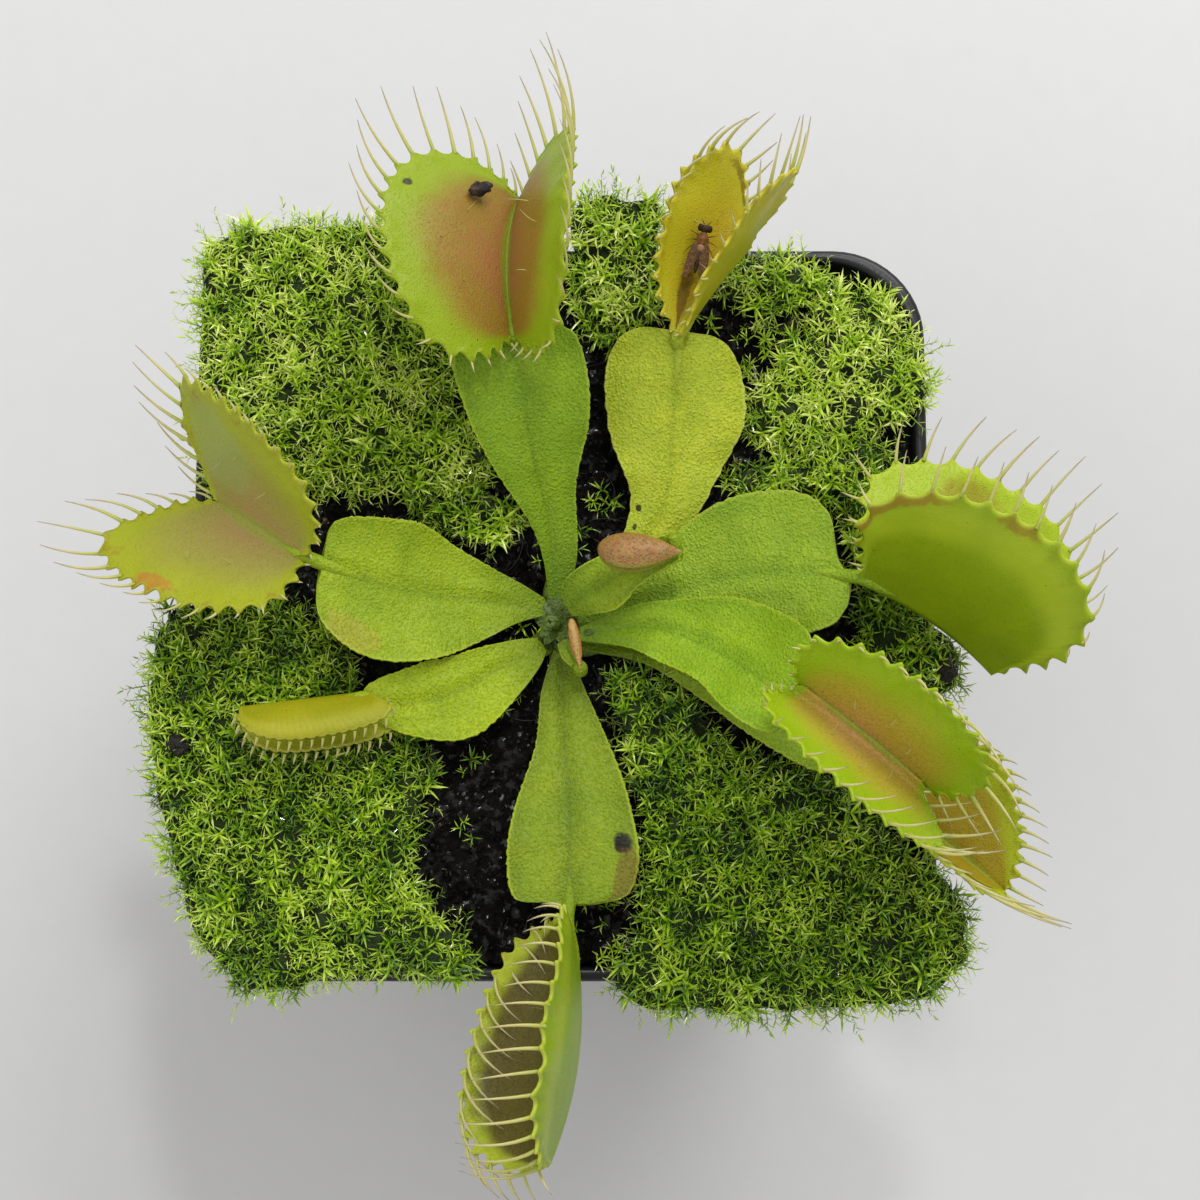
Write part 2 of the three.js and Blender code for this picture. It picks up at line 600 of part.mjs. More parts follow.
function cushionSolid({ outline, crest, height }) {
  const curve = new THREE.CatmullRomCurve3(
    outline.map(([x, y]) => new THREE.Vector3(x, y, cushion.bottom)), true, "catmullrom", 0.5);
  const edge = Array.from({ length: cushion.columns }, (_, i) => curve.getPointAt(i / cushion.columns));
  const centre = new THREE.Vector3(...crest, cushion.bottom);
  const scaled = (part, rise) => edge.map((point) => {
    const moved = centre.clone().lerp(point, part);
    moved.z += rise;
    return moved;
  });
  const domes = cushion.shoulders.map((part) =>
    scaled(part, lerp(cushion.edgeHeight, height, Math.cos((Math.PI / 2) * part) ** cushion.roundness)));
  const peak = scaled(cushion.peak, height);
  return solidOf(loft([edge, scaled(1, cushion.edgeHeight), ...domes, peak]));
}

function flySolid() {
  const ball = (from, to, radius) => {
    const [start, end] = [new THREE.Vector3(...from), new THREE.Vector3(...to)];
    const geometry = new THREE.CapsuleGeometry(radius, start.distanceTo(end), 3, 8);
    const direction = end.clone().sub(start).normalize();
    const capsuleAxis = new THREE.Vector3(0, 1, 0);
    geometry.applyQuaternion(new THREE.Quaternion().setFromUnitVectors(capsuleAxis, direction));
    geometry.translate(...start.add(end).multiplyScalar(0.5));
    return solidOf(geometry);
  };
  const wings = fly.wingTurn.map((turn) => {
    const wing = new THREE.SphereGeometry(1, 10, 6);
    wing.scale(...fly.wing);
    wing.translate(0, -0.8 * fly.wing[1], 0);
    wing.rotateZ(degToRad(turn));
    wing.translate(fly.thorax[0], fly.thorax[1], fly.thorax[2] + 0.5 * fly.bodyRadius);
    return solidOf(wing);
  });
  return joined([
    ball(fly.thorax, fly.tail, fly.bodyRadius),
    ball(fly.head, fly.thorax, 0.85 * fly.bodyRadius),
    ...wings,
  ]);
}

function crumbSolid({ half, turn, at }) {
  const lump = new THREE.IcosahedronGeometry(1, 1);
  lump.scale(...half);
  lump.rotateZ(degToRad(turn));
  lump.translate(...at);
  return solidOf(lump);
}

const flytrap = new THREE.Group();

function place(name, solid, finish) {
  const material = new THREE.MeshStandardMaterial({ ...finish, metalness: 0 });
  const mesh = new THREE.Mesh(geometryOf(solid), material);
  mesh.name = name;
  flytrap.add(mesh);
}

place("pot", potSolid(), colours.pot);
place("soil", soilSolid(), colours.soil);
place("crown", crownSolid(), colours.crown);
for (const [name, leaf] of Object.entries(leaves)) {
  place(name, leafSolid(leaf), colours[leaf.finish ?? "leaf"]);
}
for (const [name, moss] of Object.entries(cushions)) {
  place(name, cushionSolid(moss), colours.moss);
}
place("captured_fly", flySolid(), colours.insect);
for (const [name, crumb] of Object.entries(crumbs)) {
  place(name, crumbSolid(crumb), colours.bark);
}

export default flytrap;
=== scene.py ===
import json
import math
import random

import bmesh
import bpy
import numpy as np
from mathutils import Matrix, Vector, noise
from mathutils.bvhtree import BVHTree

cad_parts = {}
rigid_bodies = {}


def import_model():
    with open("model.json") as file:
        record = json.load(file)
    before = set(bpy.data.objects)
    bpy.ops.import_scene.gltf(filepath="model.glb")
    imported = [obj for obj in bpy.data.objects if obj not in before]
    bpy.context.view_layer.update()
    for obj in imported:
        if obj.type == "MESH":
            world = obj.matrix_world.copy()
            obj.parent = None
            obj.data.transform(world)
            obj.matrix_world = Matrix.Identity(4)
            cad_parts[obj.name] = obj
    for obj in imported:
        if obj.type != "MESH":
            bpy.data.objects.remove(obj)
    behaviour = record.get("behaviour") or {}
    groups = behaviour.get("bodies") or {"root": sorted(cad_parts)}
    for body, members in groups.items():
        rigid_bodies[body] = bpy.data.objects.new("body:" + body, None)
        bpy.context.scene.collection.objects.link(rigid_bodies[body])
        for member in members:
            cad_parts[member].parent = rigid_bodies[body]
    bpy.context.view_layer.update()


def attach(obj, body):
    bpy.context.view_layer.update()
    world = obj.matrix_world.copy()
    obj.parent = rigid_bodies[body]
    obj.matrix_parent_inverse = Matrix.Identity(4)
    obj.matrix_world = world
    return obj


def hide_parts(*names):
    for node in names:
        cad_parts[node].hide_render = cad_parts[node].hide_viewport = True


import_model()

# A potted Venus flytrap. Shapes are worked out in millimetres, in the frame of the CAD part, and
# become metres when their mesh is made. East is +X and north is +Y.
mm = 0.001
scene = bpy.context.scene


# a socket of a node tree: maths on it adds the nodes
class Wire:
    def __init__(self, tree, socket):
        self.tree = tree
        self.socket = socket

    def out(self, name):
        return Wire(self.tree, self.socket.node.outputs[name])

    def maths(self, operation, first, second=0.0):
        return self.tree.node("ShaderNodeMath", {"operation": operation}, {0: first, 1: second})

    def __add__(self, other):
        return self.maths("ADD", self, other)

    def __sub__(self, other):
        return self.maths("SUBTRACT", self, other)

    def __mul__(self, other):
        return self.maths("MULTIPLY", self, other)

    def __truediv__(self, other):
        return self.maths("DIVIDE", self, other)

    def __pow__(self, other):
        return self.maths("POWER", self, other)

    def __rsub__(self, other):
        return self.maths("SUBTRACT", other, self)

    def __rtruediv__(self, other):
        return self.maths("DIVIDE", other, self)

    __radd__ = __add__
    __rmul__ = __mul__

    def wave(self):
        return self.maths("SINE", self)

    def size(self):
        return self.maths("ABSOLUTE", self)

    def step(self, low, high):
        sockets = {"Value": self, "From Min": low, "From Max": high}
        return self.tree.node("ShaderNodeMapRange", {"interpolation_type": "SMOOTHSTEP"}, sockets)


class Tree:
    def __init__(self, nodeTree, finish=None):
        self.nodeTree = nodeTree
        self.finish = finish
        self.nodes = nodeTree.nodes
        self.links = nodeTree.links

    def node(self, kind, settings=None, sockets=None, out=0):
        made = self.nodes.new(kind)
        for name, value in (settings or {}).items():
            if name == "stops":
                self.setStops(made.color_ramp, value)
            else:
                setattr(made, name, value)
        for name, value in (sockets or {}).items():
            self.feed(made.inputs[name], value)
        return Wire(self, made.outputs[out]) if len(made.outputs) else made

    def feed(self, socket, value):
        if isinstance(value, Wire):
            self.links.new(value.socket, socket)
        else:
            socket.default_value = value

    def setStops(self, ramp, stops):
        while len(ramp.elements) < len(stops):
            ramp.elements.new(0.5)
        for element, (position, colour) in zip(ramp.elements, stops):
            element.position = position
            element.color = colour

    # sockets 6 and 7 are the two colours, and output 2 is the mixed one
    def mix(self, factor, first, second):
        return self.node("ShaderNodeMix", {"data_type": "RGBA"}, {0: factor, 6: first, 7: second}, 2)

    # lays colours over a first one, each as far as its own factor
    def paint(self, colour, *layers):
        for factor, over in layers:
            colour = self.mix(factor, colour, over)
        return colour

    def vector(self, operation, first, second):
        key = 3 if operation == "SCALE" else 1
        return self.node("ShaderNodeVectorMath", {"operation": operation}, {0: first, key: second})

    def place(self, stretch=(1, 1, 1)):
        spot = self.node("ShaderNodeTexCoord").out("Object")
        return self.node("ShaderNodeMapping", {}, {"Vector": spot, "Scale": stretch})

    def grain(self, sizeMm, detail=3.0, roughness=0.55, where=None):
        sockets = {"Vector": where or self.place(), "Scale": 1 / (sizeMm * mm)}
        sockets |= {"Detail": detail, "Roughness": roughness}
        return self.node("ShaderNodeTexNoise", {}, sockets)

    def cells(self, sizeMm):
        return self.node("ShaderNodeTexVoronoi", {}, {"Vector": self.place(), "Scale": 1 / (sizeMm * mm)})

    def read(self, name, out="Fac"):
        return self.node("ShaderNodeAttribute", {"attribute_name": name}).out(out)

    def axes(self, vector):
        split = self.node("ShaderNodeSeparateXYZ", {}, {0: vector})
        return split, split.out("Y"), split.out("Z")

    def bump(self, height, depthMm, under=None):
        sockets = {"Height": height, "Distance": depthMm * mm, "Strength": 1.0}
        if under:
            sockets["Normal"] = under
        return self.node("ShaderNodeBump", {}, sockets)


def tone(red, green, blue):
    return (red, green, blue, 1.0)


def scaled(colour, red, green, blue):
    return (min(colour[0] * red, 1), min(colour[1] * green, 1), min(colour[2] * blue, 1), 1.0)


def newFinish(name):
    finish = bpy.data.materials.new(name)
    finish.use_nodes = True
    finish.node_tree.nodes.clear()
    return Tree(finish.node_tree, finish)


# closes a finish with its shader: `coat` is a weight and a roughness, and `inside` the weight, the
# radii and the scale of the light that passes under the skin
def surface(tree, colour, roughness, normal=None, specular=0.5, coat=(), inside=()):
    sockets = {"Base Color": colour, "Roughness": roughness, "Specular IOR Level": specular}
    sockets |= {"Normal": normal} if normal else {}
    sockets |= dict(zip(("Coat Weight", "Coat Roughness"), coat))
    sockets |= dict(zip(("Subsurface Weight", "Subsurface Radius", "Subsurface Scale"), inside))
    shader = tree.node("ShaderNodeBsdfPrincipled", {}, sockets)
    tree.node("ShaderNodeOutputMaterial", {}, {"Surface": shader})
    return tree.finish


# one value for each point of a mesh: vectors, whole numbers or numbers
def writeValue(mesh, name, value):
    kind, field, number = ("FLOAT", "value", np.float32)
    if value.ndim > 1:
        kind, field = "FLOAT_VECTOR", "vector"
    elif value.dtype.kind == "i":
        kind, number = "INT", np.int32
    mesh.attributes.new(name, kind, "POINT").data.foreach_set(field, value.astype(number).ravel())


# the points, in millimetres, and the faces of a piece, with the values that its finish reads
class Shell:
    def __init__(self):
        self.points = []
        self.faces = []
        self.finishes = []
        self.values = {}
        self.count = 0

    def add(self, points, faces, finish=0, **values):
        points = np.asarray(points, float)
        self.points.append(points)
        self.faces += [tuple(corner + self.count for corner in face) for face in faces]
        self.finishes += [finish] * len(faces)
        for name, value in values.items():
            self.values.setdefault(name, []).append((self.count, np.asarray(value, float)))
        self.count += len(points)

    # a closed skin through rings with the same number of points, each end closed over its middle
    def loft(self, rings, finish=0, **values):
        rings = np.asarray(rings, float)
        rows, columns = rings.shape[:2]
        points = np.concatenate([rings.reshape(-1, 3), rings[:1].mean(1), rings[-1:].mean(1)])
        row, column = np.meshgrid(np.arange(rows - 1), np.arange(columns), indexing="ij")
        here = (row * columns + column).ravel()
        beside = (row * columns + (column + 1) % columns).ravel()
        quads = np.stack([here, beside, beside + columns, here + columns], 1)
        first, last = rows * columns, rows * columns + 1
        turn = [(k, (k + 1) % columns) for k in range(columns)]
        foot = (rows - 1) * columns
        faces = quads.tolist()
        faces += [(first, b, a) for a, b in turn] + [(last, foot + a, foot + b) for a, b in turn]
        a, b, c = points[quads[:, 0]], points[quads[:, 1]], points[quads[:, 2]]
        d = points[quads[:, 3]]
        volume = (a * np.cross(b, c)).sum() + (a * np.cross(c, d)).sum()
        if volume < 0:
            faces = [tuple(reversed(face)) for face in faces]
        spread = {}
        for name, value in values.items():
            value = np.broadcast_to(value, rings.shape[:2] + np.shape(value)[2:])
            flat = value.reshape((rows * columns,) + value.shape[2:])
            ends = [value[0].mean(0)[None], value[-1].mean(0)[None]]
            spread[name] = np.concatenate([flat, *ends])
        self.add(points, faces, finish, **spread)

    def mesh(self, name, finishes):
        made = bpy.data.meshes.new(name)
        made.from_pydata((np.concatenate(self.points) * mm).tolist(), [], self.faces)
        for key, parts in self.values.items():
            whole = np.zeros((self.count,) + parts[0][1].shape[1:])
            for start, value in parts:
                whole[start:start + len(value)] = value
            writeValue(made, key, whole)
        for finish in finishes:
            made.materials.append(finish)
        made.polygons.foreach_set("material_index", self.finishes)
        made.polygons.foreach_set("use_smooth", [True] * len(self.faces))
        made.update()
        return made


def addPiece(name, mesh):
    piece = bpy.data.objects.new(name, mesh)
    scene.collection.objects.link(piece)
    return piece


def joinInto(piece, *others):
    with bpy.context.temp_override(active_object=piece, selected_editable_objects=[piece, *others]):
        bpy.ops.object.join()


# turns a piece into the plain mesh that its one modifier makes
def applyModifier(piece, modifier):
    whole = piece.evaluated_get(bpy.context.evaluated_depsgraph_get())
    plain = bpy.data.meshes.new_from_object(whole)
    piece.modifiers.remove(modifier)
    piece.data = plain


def meshFrom(raw, name):
    mesh = bpy.data.meshes.new(name)
    raw.to_mesh(mesh)
    raw.free()
    return mesh


# settles a finished piece on the root body and hides the CAD nodes that it stands for
def settle(piece, slotName, *nodes):
    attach(piece, "root")
    if nodes:
        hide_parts(*nodes)
    triangles = sum(len(face.vertices) - 2 for face in piece.data.polygons)
    print(f"{piece.name}: {triangles} triangles")


# a smooth line through points, read by its share of the whole length
class Line:
    def __init__(self, points, kind="open"):
        knots = np.array(points, float)
        ends = {
            "closed": (knots[-1:], knots[:2]), "held": (knots[:1], knots[-1:]),
            "open": (2 * knots[:1] - knots[1:2], 2 * knots[-1:] - knots[-2:-1]),
        }
        knots = np.vstack([ends[kind][0], knots, ends[kind][1]])
        t = np.linspace(0, 1, 40, endpoint=False)[:, None]
        spans = []
        for a, b, c, d in zip(knots, knots[1:], knots[2:], knots[3:]):
            bend, twist = 2 * a - 5 * b + 4 * c - d, 3 * b - a - 3 * c + d
            spans.append(0.5 * (2 * b + (c - a) * t + bend * t**2 + twist * t**3))
        self.points = np.vstack(spans + [knots[-2:-1]])
        steps = np.linalg.norm(np.diff(self.points, axis=0), axis=1)
        self.run = np.concatenate([[0], np.cumsum(steps)])
        self.length = self.run[-1]

    def at(self, parts):
        where = np.asarray(parts, float) * self.length
        return np.stack([np.interp(where, self.run, axis) for axis in self.points.T], -1)

    def heading(self, parts):
        parts = np.asarray(parts, float)
        return unit(self.at(np.clip(parts + 0.004, 0, 1)) - self.at(np.clip(parts - 0.004, 0, 1)))

    # forward, sideways and up at some shares of the line
    def frame(self, parts):
        forward = self.heading(parts)
        side = unit(np.cross([0.0, 0.0, 1.0], forward))
        return forward, side, np.cross(forward, side)


def unit(vectors):
    return vectors / np.maximum(np.linalg.norm(vectors, axis=-1, keepdims=True), 1e-9)


def lerp(a, b, part):
    return a + (b - a) * part


def smooth(value, low, high):
    part = np.clip((np.asarray(value, float) - low) / (high - low), 0, 1)
    return part * part * (3 - 2 * part)


# soft uneven waves over any points, about -1 to 1
def ripple(points, lengthMm, seed, waves=9):
    dice = np.random.default_rng(seed)
    total = np.zeros(points.shape[:-1])
    for _ in range(waves):
        direction = unit(dice.normal(size=points.shape[-1]))
        pace = 2 * math.pi / (lengthMm * dice.uniform(0.7, 1.6))
        total += np.sin(points @ direction * pace + dice.uniform(0, 6.28))
    return total / math.sqrt(waves)


# camera, lights and floor, in millimetres and watts
view = {
    "target": (4.2, 0.65, 75), "distance": 240, "tilt": 9, "lens": 66.6,
    "keyAt": (230, 480, 470), "keySize": 420, "keyPower": 2.55,
    "fillAt": (-420, -120, 480), "fillSize": 500, "fillPower": 0.6,
    "glintAt": (60, 260, 640), "glintSize": 60, "glintPower": 0.8,
    "skyColour": tone(1.0, 0.99, 0.975), "skyPower": 0.66,
    "floorHalf": 5000,
}


def aimAt(thing, place, target):
    thing.location = Vector(place) * mm
    thing.rotation_euler = (Vector(target) - Vector(place)).to_track_quat("-Z", "Y").to_euler()


def makeStage():
    camera = bpy.data.objects.new("camera", bpy.data.cameras.new("camera"))
    scene.collection.objects.link(camera)
    tilt = math.radians(view["tilt"])
    back = Vector((0, -math.sin(tilt), math.cos(tilt)))
    aimAt(camera, Vector(view["target"]) + view["distance"] * back, view["target"])
    camera.data.lens = view["lens"]
    camera.data.clip_start = 0.01
    scene.camera = camera

    for label in ("key", "fill", "glint"):
        lamp = bpy.data.objects.new(f"{label}_light", bpy.data.lights.new(f"{label}_light", "AREA"))
        scene.collection.objects.link(lamp)
        aimAt(lamp, view[f"{label}At"], (0, 0, 60))
        lamp.data.shape = "DISK"
        lamp.data.size = view[f"{label}Size"] * mm
        lamp.data.energy = view[f"{label}Power"]

    world = bpy.data.worlds.new("soft_sky")
    world.use_nodes = True
    sky = world.node_tree.nodes["Background"]
    sky.inputs["Color"].default_value = view["skyColour"]
    sky.inputs["Strength"].default_value = view["skyPower"]
    scene.world = world
    scene.view_settings.view_transform = "Standard"

    tree = newFinish("pale_backdrop")
    colour = tree.mix(tree.grain(4, 4), tone(0.615, 0.615, 0.617), tone(0.64, 0.64, 0.642))
    half = view["floorHalf"]
    sheet = Shell()
    corners = [(-half, -half, 0), (half, -half, 0), (half, half, 0), (-half, half, 0)]
    sheet.add(corners, [(0, 1, 2, 3)])
    addPiece("floor", sheet.mesh("floor", [surface(tree, colour, 0.85, specular=0.2)]))


# a Geometry Nodes tree with its named inputs
def newGrower(name, inputs):
    group = bpy.data.node_groups.new(name, "GeometryNodeTree")
    group.interface.new_socket("Geometry", in_out="INPUT", socket_type="NodeSocketGeometry")
    for label, kind, value in inputs:
        socket = group.interface.new_socket(label, in_out="INPUT", socket_type=kind)
        if value is not None:
            socket.default_value = value
    group.interface.new_socket("Geometry", in_out="OUTPUT", socket_type="NodeSocketGeometry")
    tree = Tree(group)
    return tree, tree.node("NodeGroupInput")


def named(tree, name, kind="FLOAT_VECTOR"):
    return tree.node("GeometryNodeInputNamedAttribute", {"data_type": kind}, {"Name": name})


def finishGrower(tree, given, geometry):
    single = tree.node("GeometryNodeRealizeInstances", {}, {"Geometry": geometry})
    sockets = {"Geometry": single, "Material": given.out("Finish")}
    tree.node("NodeGroupOutput", {}, {0: tree.node("GeometryNodeSetMaterial", {}, sockets)})
    return tree.nodeTree


# every point grows one tapered hair: from root, past handle, to tip
def bristleGrower():
    tree, given = newGrower("grow_bristles", [
        ("Segments", "NodeSocketInt", 6),
        ("Sides", "NodeSocketInt", 6),
        ("Taper", "NodeSocketFloat", 0.8),
        ("Tip Share", "NodeSocketFloat", 0.12),
        ("Finish", "NodeSocketMaterial", None),
    ])
    straight = tree.node("GeometryNodeCurvePrimitiveLine")
    count = given.out("Segments") + 1
    straight = tree.node("GeometryNodeResampleCurve", {}, {"Curve": straight, "Count": count})
    sockets = {"Points": given, "Instance": straight}
    hairs = tree.node("GeometryNodeInstanceOnPoints", {}, sockets)
    hairs = tree.node("GeometryNodeRealizeInstances", {}, {"Geometry": hairs})
    part = tree.node("GeometryNodeSplineParameter")
    rest = 1 - part
    bent = [
        tree.vector("SCALE", named(tree, "root"), rest * rest),
        tree.vector("SCALE", named(tree, "handle"), 2 * part * rest),
        tree.vector("SCALE", named(tree, "tip"), part * part),
    ]
    curved = tree.vector("ADD", tree.vector("ADD", bent[0], bent[1]), bent[2])
    hairs = tree.node("GeometryNodeSetPosition", {}, {"Geometry": hairs, "Position": curved})
    sockets = {"Geometry": hairs, "Name": "tipness", "Value": part}
    hairs = tree.node("GeometryNodeStoreNamedAttribute", {}, sockets)
    section = {"Resolution": given.out("Sides"), "Radius": 1.0}
    section = tree.node("GeometryNodeCurvePrimitiveCircle", {}, section)
    share = given.out("Tip Share")
    width = named(tree, "thick", "FLOAT") * (share + (1 - share) * rest ** given.out("Taper"))
    sockets = {"Curve": hairs, "Profile Curve": section, "Scale": width, "Fill Caps": True}
    skin = tree.node("GeometryNodeCurveToMesh", {}, sockets)
    skin = tree.node("GeometryNodeSetShadeSmooth", {}, {"Geometry": skin})
    return finishGrower(tree, given, skin)


# every point carries one of the shapes, turned to its direction
def shapeGrower():
    tree, given = newGrower("grow_shapes", [
        ("Shapes", "NodeSocketCollection", None),
        ("Size", "NodeSocketFloat", 1.0),
        ("Least Size", "NodeSocketFloat", 0.75),
        ("Seed", "NodeSocketInt", 3),
        ("Finish", "NodeSocketMaterial", None),
    ])
    sockets = {"Collection": given.out("Shapes"), "Separate Children": True, "Reset Children": True}
    shapes = tree.node("GeometryNodeCollectionInfo", {}, sockets)
    settings = {"primary_axis": "Z", "secondary_axis": "X"}
    axes = {"Primary Axis": named(tree, "direction"), "Secondary Axis": named(tree, "turn")}
    turned = tree.node("FunctionNodeAxesToRotation", settings, axes)
    # sockets 2 and 8 are the least value and the seed, and output 1 is a single number
    sockets = {2: given.out("Least Size"), 8: given.out("Seed")}
    chance = tree.node("FunctionNodeRandomValue", {}, sockets, 1)
    size = chance * given.out("Size") * named(tree, "size", "FLOAT")
    sockets = {"Points": given, "Instance": shapes, "Pick Instance": True}
    sockets |= {"Instance Index": named(tree, "shape", "INT"), "Rotation": turned, "Scale": size}
    return finishGrower(tree, given, tree.node("GeometryNodeInstanceOnPoints", {}, sockets))


# grows a piece on points given in millimetres
def grow(name, grower, points, values, inputs):
    mesh = bpy.data.meshes.new(name)
    mesh.from_pydata((np.asarray(points, float) * mm).tolist(), [], [])
    for key, value in values.items():
        writeValue(mesh, key, value)
    piece = addPiece(name, mesh)
    modifier = piece.modifiers.new("grow", "NODES")
    modifier.node_group = grower
    for item in grower.interface.items_tree:
        if item.name in inputs:
            modifier[item.identifier] = inputs[item.name]
    applyModifier(piece, modifier)
    return piece


# joins hairs to a piece: lists of their roots, handles, tips and radii at the root
def growHairs(piece, hairs, inputs):
    names = ("root", "handle", "tip", "thick")
    values = {name: np.asarray(hair) * mm for name, hair in zip(names, hairs)}
    joinInto(piece, grow(f"{piece.name}_hairs", bristles, hairs[0], values, inputs))


bristles = bristleGrower()
shapes = shapeGrower()


